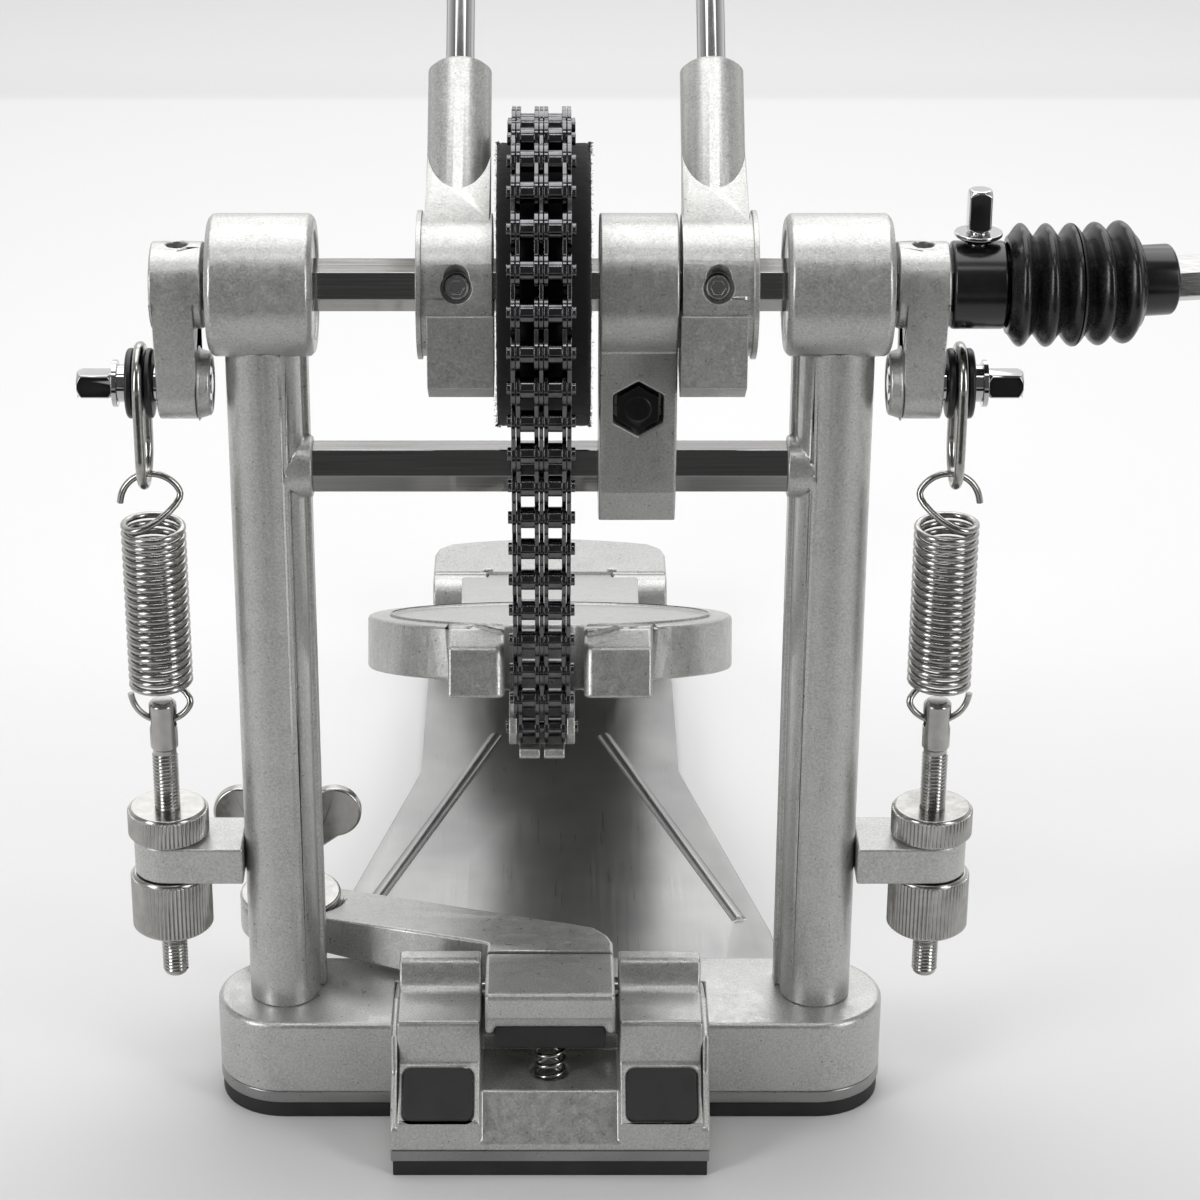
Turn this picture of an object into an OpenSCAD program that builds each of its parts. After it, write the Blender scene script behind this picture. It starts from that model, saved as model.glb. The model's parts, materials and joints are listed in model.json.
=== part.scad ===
// Main pedal of a double bass drum pedal: two towers, a cam with a duplex chain,
// two beaters on split hexagon axles, two tension springs, a side-worked hoop
// clamp and the drive coupling for a second footboard.
// Origin on the floor under the axle, midway between the towers.
// +X to the player's left hand as seen from the drum, +Y to the player, +Z up.

/* [Frame] */
// Height of the axle above the floor
axle_h = 222; // [205:1:240]
// Distance between the centre planes of the two towers
tower_gap = 138; // [132:1:150]
// Width of a tower from side to side
tower_w = 18; // [15:0.5:20]
// Diameter of the axle housings on the towers
housing_d = 34; // [31:0.5:37]
// Length of an axle housing along the axle
housing_l = 25.2; // [20:0.1:25.4]
// Radius of the round ends of the base
base_r = 17.5; // [14:0.5:20]
// Height of the base casting's top above the floor
base_top = 28; // [24:0.5:32]
// Thickness of the rubber pads under the pedal
pad_t = 4.4; // [3:0.1:6]
// Thickness of the steel floor plate
plate_t = 3.4; // [2:0.1:4]
// Distance of the hexagon crossbar below the axle
crossbar_drop = 46.5; // [46:0.5:56]
// Width across flats of the crossbar
crossbar_af = 11; // [9:0.1:12]

/* [Axle and cam] */
// Width across flats of the hexagon axles
axle_af = 11; // [9:0.1:12]
// Pitch of the chain
chain_pitch = 9.525; // [9:0.005:9.8]
// Number of chain pitches round the cam
cam_pitches = 25; // [25:1:25]
// Overall width of the felt-faced cam rim
cam_w = 21.9; // [20:0.1:23]
// Thickness of the felt band on the cam rim
felt_t = 2.4; // [1:0.1:4]
// Angle of the lowest chain pin on the cam below the horizontal
wrap_start = 4.9; // [4.9:0.1:4.9]
// Number of chain links that stay on the cam
wrapped_links = 9; // [5:1:10]
// Lean of the free chain away from the vertical
chain_lean = 15.7; // [15.7:0.1:15.7]
// Number of links in the free chain
free_links = 11; // [11:1:11]

/* [Chain] */
// Distance between the two strands of the chain
strand_gap = 6.45; // [6.2:0.05:6.8]
// Diameter of a chain roller
roller_d = 5.1; // [4.5:0.1:5.6]
// Length of a chain roller
roller_l = 3.2; // [2.8:0.1:3.4]
// Thickness of a chain plate
link_t = 1; // [0.7:0.05:1.1]
// Height of a chain plate
link_h = 8.4; // [7:0.1:8.4]
// Diameter of a chain pin
pin_d = 3; // [2.4:0.1:3.2]

/* [Beaters] */
// Angle of the beaters back from the vertical at rest
beater_lean = 45; // [40:1:50]
// Diameter of a beater rod
rod_d = 7; // [6:0.1:8]
// Length of a beater rod
rod_l = 185; // [150:1:220]
// Diameter of the rod holder on a hub
holder_d = 15.5; // [14:0.1:17]
// Distance from the axle to the end of the rod holder
holder_l = 58; // [50:1:70]
// Diameter of a beater hub
hub_d = 34; // [30:0.5:38]
// Width of a beater hub
hub_w = 16.7; // [15.6:0.1:18]
// Diameter of a beater head
head_d = 50; // [44:1:56]
// Length of a beater head
head_l = 46; // [40:1:55]

/* [Springs] */
// Outside diameter of a tension spring
spring_d = 17.3; // [14:0.1:18]
// Wire diameter of a tension spring
spring_wire = 1.7; // [1.2:0.05:1.8]
// Number of coils in a tension spring
spring_coils = 21; // [16:1:22]
// Height of the lowest coil of a tension spring
spring_foot = 116; // [112:0.5:118]
// Height of the highest coil of a tension spring
spring_head = 161.2; // [159:0.1:162]
// Distance of the springs from the middle of the pedal
spring_x = 97.4; // [97:0.1:98]
// Distance from the axle to the crank pin of a rocker
crank_r = 25; // [24:0.5:28]
// Diameter of the knurled nuts
nut_d = 20.8; // [18:0.1:22]

/* [Hoop clamp] */
// Width of the clamp block
block_w = 80.4; // [76:0.2:84]
// Reach of the clamp block in front of the axle
block_reach = 45; // [42:0.5:48]
// Width of the gap between the two horns
horn_gap = 35; // [34:0.5:38]
// Distance of the wing bolt from the middle of the pedal
wing_x = 69.6; // [66:0.2:72]
// Distance of the wing bolt behind the axle
wing_y = 31.5; // [31:0.5:36]

/* [Footboard] */
// Distance of the heel hinge behind the axle
hinge_y = 262; // [255:1:275]
// Height of the heel hinge above the floor
hinge_h = 23; // [20:0.5:26]
// Reach of the footboard's toe in front of the chain's end pin
toe_reach = 16.5; // [15:0.1:19]
// Distance of the chain's end pin below the heel hinge, square to the footboard
pin_below = 13.8; // [13.2:0.1:14.4]
// Radius of the round toe
toe_r = 47; // [42:0.5:52]
// Thickness of the footboard's rim
board_t = 8.7; // [7:0.1:10]

/* [Drive coupling] */
// Distance of the universal joint's centre from the middle of the pedal
joint_x = 124; // [124:0.5:128]
// Bend of the drive bar towards the player at rest
bar_bend = 10; // [0:1:12]
// Width across flats of the drive bar
bar_af = 10; // [9:0.1:10.5]
// Length of the drive bar
bar_l = 130; // [80:1:200]
// Largest diameter of the rubber boot
boot_d = 29.4; // [28:0.1:31]
// Number of folds in the rubber boot
boot_folds = 5; // [4:1:6]

/* [Hidden] */
$fn = 48;

// Clearances
run_gap = 0.05;     // radial gap of a shaft in its bore
side_gap = 0.2;     // gap beside a moving piece
rest_gap = 0.3;     // gap between curved pieces of different bodies
eps = 0.01;
far = 400;

// Frame
tower_x = tower_gap / 2;
tower_back = 9;                          // back face of a tower behind the axle
rib_step = 1.4;                          // inner rib of a tower stands out by this
rib_front = 2.5;                         // front of the inner rib
plate_top = pad_t + plate_t;
rib_len = 122;                           // length of a pressed rib in the floor plate
rib_spread = 17.5;                       // angle between a pressed rib and the middle line
base_cut_y = 4.3;                        // back of the pocket for the clamp block
bearing_d = 26;
journal_d = 18;
bearing_inset = 0.6;
housing_in = tower_x - 0.6 - housing_l / 2;
housing_out = housing_in + housing_l;
crossbar_h = axle_h - crossbar_drop;
rib_end_y = 165;                         // the floor plate narrows up to here
rib_start_y = 66;
plate_shoulder = 62;                     // half width of the floor plate beside the ribs' start
plate_back = hinge_y + 38;

// Centre block
block_x = 21;                            // middle of the centre block
block_t = 18.6;
block_r = 17;
block_foot = crossbar_h - 11.5;
block_half = 11;                         // half depth of the block
mid_bearing_d = 23;
mid_journal_d = 17;
mid_gap = 0.4;                           // gap between the two axle ends
clamp_bolt_h = axle_h - 27.5;

// Cam and chain
chain_x = -2;
cam_x0 = -12.4;
cam_pin_r = chain_pitch / (2 * sin(180 / cam_pitches));
cam_step = 360 / cam_pitches;
felt_r = cam_pin_r - link_h / 2 - rest_gap;
disc_r = felt_r - felt_t;
inner_half = roller_l / 2 + link_t;      // half width of an inner link's strand
strand_x = strand_gap / 2;
link_gap = 0.15;                         // side gap between link plates
outer_x = strand_x + inner_half + link_gap;
pin_half = outer_x + link_t + 1;
end_pin_d = pin_d + 2 * run_gap + 0.06;  // pin that holds the chain in its clip
clip_in = strand_x + inner_half + 0.35;
clip_out = clip_in + 2;
web_t = 2 * (strand_x - inner_half - link_gap);

// Beater hubs
hub_x = [-21.9, 39.4];
neck_half = holder_d / 2 - 0.1;          // half width of the neck under the rod holder
neck_tip = 0.8;                          // the neck tapers to this radius inside the holder
neck_l = 35.5;
foot_step = 1.4;                         // the hub's foot stands back from its outer side
flange_t = 1.2;
flange_d = hub_d + 1.4;
rod_foot = 22;                           // rod's lower end, from the axle
rod_bore_foot = 11;
screw_tilt = 16;
screw_d = 6;
recess_d = 7.4;

// Rockers and hangers
rocker_hub_d = 20.7;
rocker_in = 82.2;
rocker_out = 94.6;
arm_in = 84.4;
arm_out = 94;
boss_in = 81.3;
crank_end_r = 8.5;
hanger_x = 98.6;
wheel_w = 6.4;
wheel_r = 8.5;
groove_r = 6.6;
groove_w = 3.2;
hanger_bolt_d = 6;
ring_wire = 2.5;
ring_r = 8.9;                            // middle of the wire, at the ring's ends
crank_z = axle_h - crank_r;
ring_foot = 180.2;                       // middle of the ring's lower bend

// Springs and tension rods
coil_r = (spring_d - spring_wire) / 2;
hook_top = ring_foot - ring_r + ring_wire / 2 + rest_gap + spring_wire / 2;
eye_h = 106.6;
hook_bottom = eye_h - 0.4;
tension_d = 6;
tension_foot = 33.6;
tension_head_d = 7;
tension_head_foot = 98.5;
tension_top = 112.2;
bracket_top = 74.3;
bracket_t = 10;
bracket_r = 9;
lock_nut_t = 8.2;
adjuster_t = 16.2;
nut_gap = 0.3;
spring_rings = 8;                        // rings of points in one coil
wire_sides = 6;

// Clamp
block_top = 45;
horn_w = 21;
lever_axis_y = -12;
lever_axis_h = 36;
lever_pin_d = 5;
jaw_half = horn_gap / 2 - 1.3;
jaw_top = 49;
jaw_front = -38;
strip_foot = 31.5;
recess_floor = 20.5;
wing_top = 71.5;
wing_foot = 52.5;
wing_half = 19.6;
boss_r = 13.5;
boss_top = 37.4;
wing_bolt_d = 8;

// Footboard, in its own frame: hinge at the origin, toe towards -Y, before the slope
board_top = 7;
board_foot = board_top - board_t;
toe_rise = 4.8;                          // the round toe stands this far above the tread
toe_top = board_top + toe_rise;
heel_w = 28.8;                           // half width of the tread at the heel
waist_w = 24.5;                          // and just behind the round toe
rib_gap = 48;                            // spacing of the cross ribs underneath
rib_t = 3.5;
boss_l = 26;                             // boss that takes the chain clip
skin_t = 3;
rim_t = 4;
knuckle_half = 20.5;
knuckle_r = 7;
knuckle_gap = 0.4;
heel_pin_d = 6;
notch_half = 9.8;
notch_x = chain_x + 0.6;
notch_corner = 4;
notch_edge = 2.4;                        // radius of the notch's front edges
block_drop = 3.5;                        // front block and clip boss reach this far below
heel_half = 38.5;

// Chain run, in the plane of the chain
function cam_point(a) = [-cam_pin_r * cos(a), axle_h + cam_pin_r * sin(a)];
run_dir = [sin(chain_lean), -cos(chain_lean)];
tangent = cam_point(-chain_lean);
first_on_cam = cam_point(-wrap_start);
run_lead = let (w = tangent - first_on_cam, b = w * run_dir)
    -b + sqrt(b * b - w * w + chain_pitch * chain_pitch);
run_start = tangent + run_lead * run_dir;
run_end = run_start + free_links * chain_pitch * run_dir;

// Footboard's slope and length, from the chain's end
heel_to_pin = run_end - [hinge_y, hinge_h];
board_slope = atan2(heel_to_pin[1], -heel_to_pin[0]) + asin(pin_below / norm(heel_to_pin));
board_l = sqrt(heel_to_pin * heel_to_pin - pin_below * pin_below) + toe_reach;
toe_y = -(board_l - 3 - toe_r);          // centre of the round toe
notch_end = -(board_l - 22);

// Drive coupling
coupler_in = 95.2;
coupler_out = 108;
coupler_d = 21;
yoke_r = 8.2;
yoke_ear_t = 2.6;
yoke_ear_w = 8;
cross_pin_d = 4;
output_d = 17;
output_start = 14;                       // from the joint's centre along the bar
output_len = 10.5;
boot_wall = 1.6;
boot_bore = 20;
boot_back = 14.9;                        // boot's ends from the joint's centre
boot_front = 14.9;

// Shapes shared by several pieces

module hex_bar(af, l) {
    rotate([0, 90, 0]) rotate([0, 0, 30]) cylinder(d = af / cos(30), h = l, $fn = 6);
}

// Round bar along X from x0 to x1 at the axle's height
module axle_round(d, x0, x1) {
    translate([x0, 0, axle_h]) rotate([0, 90, 0]) cylinder(d = d, h = x1 - x0);
}

// Hexagon bar along X at the axle's height, with one flat towards the clamp screws
module axle_hex(af, x0, x1) {
    translate([x0, 0, axle_h]) rotate([30 - screw_tilt, 0, 0]) hex_bar(af, x1 - x0);
}

// Outline round two circles on one line, the second at distance d below the first
module link_outline(r1, r2, d) {
    a = asin((r1 - r2) / d);
    circle(r1);
    translate([0, -d]) circle(r2);
    polygon([[r1 * cos(a), -r1 * sin(a)], [-r1 * cos(a), -r1 * sin(a)],
             [-r2 * cos(a), -d - r2 * sin(a)], [r2 * cos(a), -d - r2 * sin(a)]]);
}

// Extrudes an outline drawn in the plane of Y and Z along X, from x0 to x1
module along_x(x0, x1) {
    translate([x0, 0, 0]) rotate([90, 0, 90]) linear_extrude(x1 - x0) children();
}

// Half of an edge profile with a rounded upper corner
module edge_profile(r, h, f) {
    square([r - f, h]);
    square([r, h - f]);
    translate([r - f, h - f]) circle(f, $fn = 24);
}

// Flat bar with round ends and a rounded upper edge
module stadium(half, r, z0, z1, f) {
    h = z1 - z0;
    translate([0, 0, z0]) {
        for (s = [-1, 1])
            translate([s * half, 0, 0]) rotate_extrude() edge_profile(r, h, f);
        rotate([90, 0, 90]) linear_extrude(2 * half, center = true) {
            edge_profile(r, h, f);
            mirror([1, 0]) edge_profile(r, h, f);
        }
    }
}

// Cylinder with a small chamfer at both ends
module chamfered(d, h, c) {
    r = d / 2;
    rotate_extrude()
        polygon([[0, 0], [r - c, 0], [r, c], [r, h - c], [r - c, h], [0, h]]);
}

// Round outline with n straight teeth, for a knurled grip
module knurl_outline(r, n, depth) {
    polygon([for (i = [0 : 2 * n - 1])
        let (a = 180 * i / n, q = i % 2 == 0 ? r : r - depth) [q * cos(a), q * sin(a)]]);
}

// Knurled band between two plain rims of height c
module knurled(d, h, c, n, depth) {
    chamfered(d - 2 * depth - 0.3, h, 0.5);
    translate([0, 0, c]) linear_extrude(h - 2 * c) knurl_outline(d / 2, n, depth);
}

// Tube of six sides along a list of points; each ring is square to the path.
// The side vector n0 starts the rings and is carried along the path.
function unit(v) = v / norm(v);
function turned(n, t) = unit(n - (n * t) * t);
function tangents(p) = [for (i = [0 : len(p) - 1])
    unit(p[min(i + 1, len(p) - 1)] - p[max(i - 1, 0)])];
function normals(t, n, i = 0) =
    i == len(t) ? [] : let (m = turned(n, t[i])) concat([m], normals(t, m, i + 1));

module wire(path, d, n0, sides = wire_sides) {
    t = tangents(path);
    n = normals(t, n0);
    k = len(path);
    points = [for (i = [0 : k - 1]) for (j = [0 : sides - 1])
        let (a = 360 * j / sides, b = cross(t[i], n[i]))
        path[i] + d / 2 * (cos(a) * n[i] + sin(a) * b)];
    walls = [for (i = [0 : k - 2]) for (j = [0 : sides - 1])
        let (p = i * sides + j, q = i * sides + (j + 1) % sides)
        each [[p, p + sides, q], [q, p + sides, q + sides]]];
    h = (k - 1) * sides;
    polyhedron(points, concat(walls, [for (j = [1 : sides - 2]) [0, j, j + 1]],
                              [for (j = [1 : sides - 2]) [h, h + j + 1, h + j]]));
}

// Frame

module base_casting() color("silver") difference() {
    stadium(tower_x, base_r, plate_top, base_top, 1.6);
    translate([-block_w / 2 - side_gap, -far, 0])
        cube([block_w + 2 * side_gap, far + base_cut_y, far]);
}

// Outline of the steel plate that joins the base to the heel
module plate_outline() {
    for (s = [-1, 1]) translate([s * tower_x, 0]) circle(base_r);
    translate([-tower_x, -base_r]) square([2 * tower_x, 2 * base_r]);
    translate([-block_w / 2, -block_reach + 0.3]) square([block_w, block_reach]);
    polygon([[-tower_x - 9, 12], [-tower_x - 9, 34], [-plate_shoulder, rib_start_y],
             [-heel_half - 1, rib_end_y],
             [-heel_half - 1, plate_back], [heel_half + 1, plate_back], [heel_half + 1, rib_end_y],
             [plate_shoulder, rib_start_y], [tower_x - 3, 34], [tower_x - 3, 12]]);
}

module floor_plate() color("lightgray") {
    translate([0, 0, pad_t]) linear_extrude(plate_t) plate_outline();
    // Two pressed ribs that spread from the heel towards the towers
    for (s = [-1, 1])
        translate([s * 53.5, 72, plate_top - 0.9]) rotate([0, 90, 90 + s * rib_spread])
            cylinder(d = 4.4, h = rib_len, $fn = 24);
}

module rubber_pads() color("#1b1b1b") {
    for (s = [-1, 1]) translate([s * tower_x, 0, 0]) cylinder(r = base_r - 0.4, h = pad_t);
    translate([-tower_x, -base_r + 0.4, 0]) cube([2 * tower_x, 2 * base_r - 0.8, pad_t]);
    translate([-block_w / 2 + 0.5, -block_reach + 0.8, 0])
        cube([block_w - 1, block_reach, pad_t]);
    translate([-heel_half + 1.5, hinge_y - 20, 0]) cube([2 * heel_half - 3, 56, pad_t]);
    for (s = [-1, 1]) horn_pad(s);
}

// Section of a tower, with the rib on the side of +X
module tower_section() {
    circle(d = tower_w);
    translate([-tower_w / 2, 0]) square([tower_w, tower_back]);
    translate([0, rib_front]) square([tower_w / 2 + rib_step, tower_back - rib_front]);
}

module tower() difference() {
    union() {
        translate([-tower_x, 0, base_top])
            linear_extrude(axle_h - base_top) tower_section();
        translate([-tower_x, 0, crossbar_h]) rotate([0, 90, 0])
            cylinder(d = 15, h = tower_w / 2 + rib_step + 1);
        translate([-housing_out, 0, axle_h]) rotate([0, 90, 0])
            chamfered(housing_d, housing_l, 1.2);
    }
    axle_round(bearing_d, -housing_out - 1, -housing_in + 1);
    translate([-tower_x, 0, crossbar_h]) hex_bar(crossbar_af, far);
    translate([-tower_x, 0, base_top - 1]) cylinder(d = 6.4, h = 30);
}

module tower_left() color("silver") tower();
module tower_right() color("silver") mirror([1, 0, 0]) tower();

module bearing(outer_d, bore_d, x0, x1) {
    difference() {
        axle_round(outer_d, x0, x1);
        axle_round(bore_d, x0 - 1, x1 + 1);
    }
}

module axle_bearings() color("#8d8f92") {
    for (s = [0, 1]) mirror([s, 0, 0])
        bearing(bearing_d, journal_d + 2 * run_gap, -housing_out + bearing_inset,
                -housing_in - bearing_inset);
    bearing(mid_bearing_d, mid_journal_d + 2 * run_gap, block_x - block_t / 2 + 0.5,
            block_x + block_t / 2 - 0.5);
}

module crossbar() color("#9a9a9a")
    translate([-tower_x + 2, 0, crossbar_h]) hex_bar(crossbar_af, 2 * tower_x - 4);

module centre_block() color("silver") difference() {
    along_x(block_x - block_t / 2, block_x + block_t / 2) {
        translate([0, axle_h]) circle(block_r);
        polygon([[-block_half, axle_h], [-block_half, block_foot + 9],
                 [-block_half + 4, block_foot], [block_half - 4, block_foot],
                 [block_half, block_foot + 9], [block_half, axle_h]]);
    }
    axle_round(mid_bearing_d, -far, far);
    translate([-far, 0, crossbar_h]) hex_bar(crossbar_af, 2 * far);
    translate([block_x, 0, clamp_bolt_h]) rotate([90, 0, 0]) {
        cylinder(d = 6.4, h = far, center = true);
        translate([0, 0, block_half - 5])
            rotate([0, 0, 30]) cylinder(d = 12 / cos(30), h = far, $fn = 6);
    }
}

// Bolt that pinches the centre block, with its nut in the hexagon pocket
module centre_bolt() color("#3a3a3a")
    translate([block_x, 0, clamp_bolt_h]) rotate([90, 0, 0]) {
        translate([0, 0, -block_half - 5]) cylinder(d = 6, h = 2 * block_half + 5);
        translate([0, 0, -block_half - 5.2]) cylinder(d = 10, h = 5.2);
        translate([0, 0, block_half - 4.8])
            rotate([0, 0, 30]) cylinder(d = 10 / cos(30), h = 4.6, $fn = 6);
    }

module spring_bracket() {
    difference() {
        translate([0, 0, bracket_top - bracket_t]) linear_extrude(bracket_t) {
            translate([-spring_x, 0]) circle(bracket_r);
            translate([-spring_x, -bracket_r])
                square([spring_x - tower_x - tower_w / 2 + eps, 2 * bracket_r]);
        }
        translate([-spring_x, 0, bracket_top - bracket_t - 1])
            cylinder(d = tension_d + 2 * run_gap, h = bracket_t + 2);
    }
}

module spring_brackets() color("silver")
    for (s = [0, 1]) mirror([s, 0, 0]) spring_bracket();

module knurled_nut(z0, h) {
    translate([0, 0, z0]) difference() {
        knurled(nut_d, h, 0.8, 60, 0.45);
        translate([0, 0, -1]) cylinder(d = tension_d + 2 * run_gap, h = h + 2);
    }
}

module lock_nuts() color("#b5b5b5")
    for (s = [-1, 1]) translate([s * spring_x, 0, 0])
        knurled_nut(bracket_top, lock_nut_t);

// Heel

heel_top = hinge_h + 7.4;
heel_back = 30.8;                        // domed back of the block behind the hinge
dome_r = 124;
dome_half = 33;

// Plan of the heel block, with a domed back and rounded corners
module heel_plan() translate([0, hinge_y])
    polygon(concat([[-heel_half, 17], [-heel_half, 1.5], [heel_half, 1.5], [heel_half, 17],
                    [heel_half - 1.3, 22.5]],
        [for (x = [dome_half : -dome_half / 5 : -dome_half]) [x, heel_back - x * x / (2 * dome_r)]],
        [[-heel_half + 1.3, 22.5]]));

module heel_block() color("silver") difference() {
    union() {
        translate([0, 0, plate_top]) linear_extrude(heel_top - plate_top) heel_plan();
        // Low foot in front of and behind the block
        along_x(-heel_half, heel_half)
            polygon([[hinge_y - 19, plate_top], [hinge_y - 19, plate_top + 3.5],
                     [hinge_y - 6, plate_top + 3.5], [hinge_y + 37, plate_top + 3.5],
                     [hinge_y + 37, plate_top]]);
        // Ears that carry the pin
        for (s = [0, 1]) mirror([s, 0, 0])
            along_x(knuckle_half + side_gap, heel_half) {
                translate([hinge_y, hinge_h]) circle(heel_top - hinge_h);
                translate([hinge_y + hinge_h - heel_top, plate_top])
                    square([2 * (heel_top - hinge_h), hinge_h - plate_top]);
            }
    }
    // Room for the footboard's knuckle, with a relief hole at each end
    translate([0, hinge_y, hinge_h]) rotate([0, 90, 0])
        cylinder(r = knuckle_r + knuckle_gap, h = 2 * (knuckle_half + side_gap), center = true);
    for (s = [-1, 1]) translate([s * knuckle_half, hinge_y + 4, heel_top - 4])
        cylinder(d = 2.6, h = 5, $fn = 24);
    translate([-far, hinge_y, hinge_h]) rotate([0, 90, 0])
        cylinder(d = heel_pin_d, h = 2 * far);
}

module heel_pin() color("#8d8f92")
    translate([-heel_half + 1, hinge_y, hinge_h]) rotate([0, 90, 0])
        cylinder(d = heel_pin_d, h = 2 * heel_half - 2);

// Hoop clamp

// Side outline of the clamp block's horns, as Y and Z
horn_outline = [[-block_reach, plate_top], [-block_reach, 16], [-33.5, 26.7],
                [-32.6, 37.2], [-31.8, 38], [-18.5, 38], [-16.6, 39.2], [-15.2, 41.5],
                [-14.2, 44.2], [-13, block_top], [-9, block_top], [-8, block_top - 1],
                [-6.6, base_top + 1.2], [-5.4, base_top], [4, base_top], [4, plate_top]];
// Side outline of the low middle part between the horns
recess_outline = [[-block_reach, plate_top], [-block_reach, 10], [-36.5, recess_floor],
                  [-17, recess_floor], [-17, 25], [4, 25], [4, plate_top]];
pad_slope = atan2(26.7 - 16, 45 - 33.5);
pad_len = 13.6;
pad_w = 17.5;

module horn_pad(s) {
    translate([s * 28.2, -39.6, 20.9]) rotate([pad_slope, 0, 0])
        translate([-pad_w / 2, -pad_len / 2, -0.6]) {
            translate([2, 0, 0]) cube([pad_w - 4, pad_len, 1.6]);
            translate([0, 2, 0]) cube([pad_w, pad_len - 4, 1.6]);
            for (x = [2, pad_w - 2]) for (y = [2, pad_len - 2])
                translate([x, y, 0]) cylinder(r = 2, h = 1.6, $fn = 24);
        }
}

module clamp_block() color("silver") difference() {
    union() {
        for (s = [0, 1]) mirror([s, 0, 0])
            along_x(horn_gap / 2, horn_gap / 2 + horn_w) polygon(horn_outline);
        along_x(-horn_gap / 2 - eps, horn_gap / 2 + eps) polygon(recess_outline);
        for (s = [0, 1]) mirror([s, 0, 0])
            along_x(horn_gap / 2 + horn_w - eps, block_w / 2)
                polygon([[-block_reach, plate_top], [-block_reach, 14], [-33.5, 24],
                         [-31, 33], [-14, 34], [-8, base_top + 3], [4, base_top],
                         [4, plate_top]]);
    }
    for (s = [-1, 1]) horn_pad(s);
    translate([-far, lever_axis_y, lever_axis_h]) rotate([0, 90, 0])
        cylinder(d = lever_pin_d, h = 2 * far, $fn = 32);
    translate([0, -27, recess_floor - 3]) cylinder(d = 10, h = 10);
}

module clamp_pin() color("#8d8f92")
    translate([-horn_gap / 2 - horn_w + 2, lever_axis_y, lever_axis_h])
        rotate([0, 90, 0]) cylinder(d = lever_pin_d, h = horn_gap + 2 * horn_w - 4, $fn = 32);

clamp_coils = 4;
clamp_coil_r = 3.6;
clamp_wire = 1.2;
clamp_spring_foot = recess_floor - 3 + clamp_wire / 2 + 0.1;
clamp_spring_head = strip_foot - clamp_wire / 2 - rest_gap;
module clamp_spring() color("#c8c8c8") {
    n = clamp_coils * spring_rings;
    rise = clamp_spring_head - clamp_spring_foot;
    wire([for (i = [0 : n]) let (a = 360 * i / spring_rings)
          [clamp_coil_r * cos(a), -27 + clamp_coil_r * sin(a),
           clamp_spring_foot + rise * i / n]], clamp_wire, [1, 0, 0]);
}

// Plan of the lever's arm, from behind the jaw to the wing bolt
arm_plan = [[-jaw_half, jaw_front + 24], [jaw_half, jaw_front + 24], [jaw_half, -4],
            [15, 1.5], [11.5, 8], [5, 11.5], [-2, 14.5], [-wing_x + 6, wing_y + 13], [-wing_x - 6, wing_y + 13],
            [-wing_x, wing_y - 13.5], [-60, 16], [-17.5, -3.6], [-jaw_half, -5.2]];
arm_foot = base_top + 1.6;
arm_slope = 11.5;

module clamp_lever() color("silver") difference() {
    union() {
        difference() {
            translate([0, 0, arm_foot]) linear_extrude(30) {
                polygon(arm_plan);
                translate([-wing_x, wing_y]) circle(boss_r);
            }
            translate([-far, -13, 46.5]) rotate([-arm_slope, 0, 0])
                translate([0, -5, 0]) cube([2 * far, 2 * far, far]);
        }
        along_x(-jaw_half, jaw_half)
            polygon([[jaw_front, 42.5], [jaw_front, jaw_top - 1], [jaw_front + 1, jaw_top],
                     [-22, jaw_top], [-13, 46.6], [-13 + eps, arm_foot], [-18, arm_foot + 2],
                     [-20, 38.5], [jaw_front + 2, 38.5]]);
        for (s = [0, 1]) mirror([s, 0, 0])
            along_x(jaw_half - 2, jaw_half)
                polygon([[jaw_front + 0.6, 44], [jaw_front + 1.2, 37], [-20, 36], [-18, 44]]);
        translate([-wing_x, wing_y, arm_foot]) cylinder(r = boss_r - 1, h = boss_top - arm_foot);
    }
    translate([-far, lever_axis_y, lever_axis_h]) rotate([0, 90, 0])
        cylinder(d = lever_pin_d + 2 * run_gap, h = 2 * far, $fn = 32);
    translate([-wing_x, wing_y, 0]) cylinder(d = wing_bolt_d + 2 * run_gap, h = far);
    translate([-wing_x, wing_y, boss_top]) cylinder(r = boss_r + 0.8, h = far);
}

module lever_pad() color("#1b1b1b")
    along_x(-jaw_half + 2.2, jaw_half - 2.2)
        polygon([[jaw_front + 2.4, 38.5], [jaw_front + 2.4, strip_foot + 1],
                 [jaw_front + 3.4, strip_foot], [-22, strip_foot], [-21, strip_foot + 1],
                 [-21, 38.5]]);

// One wing, drawn beside the bolt: a lobe with a sloping underside
module wing_outline() {
    translate([wing_half - 7.2, wing_top - wing_foot - 7.2]) circle(7.2);
    polygon([[0, 0], [7, 0], [wing_half - 1.6, wing_top - wing_foot - 11],
             [wing_half - 9, wing_top - wing_foot - 0.4], [4.6, 8], [0, 8]]);
}

module wing_bolt() color("#b8b8b8") translate([-wing_x, wing_y, 0]) {
    translate([0, 0, plate_top + 0.6]) cylinder(d = wing_bolt_d, h = wing_foot - plate_top);
    translate([0, 0, boss_top + 0.3]) cylinder(r = boss_r, h = 2.4);
    translate([0, 0, wing_foot - 6]) cylinder(d = 13, h = 14);
    for (s = [0, 1]) mirror([s, 0, 0])
        translate([0, 1.7, wing_foot]) rotate([90, 0, 0]) linear_extrude(3.4) wing_outline();
}

// Axles

module cam_axle() color("#8f9194") {
    axle_hex(axle_af, -rocker_out, block_x - mid_gap / 2 - 1);
    axle_round(journal_d, -housing_out + bearing_inset, -housing_in - bearing_inset);
    axle_round(mid_journal_d, block_x - block_t / 2 + 0.5, block_x - mid_gap / 2);
}

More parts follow.
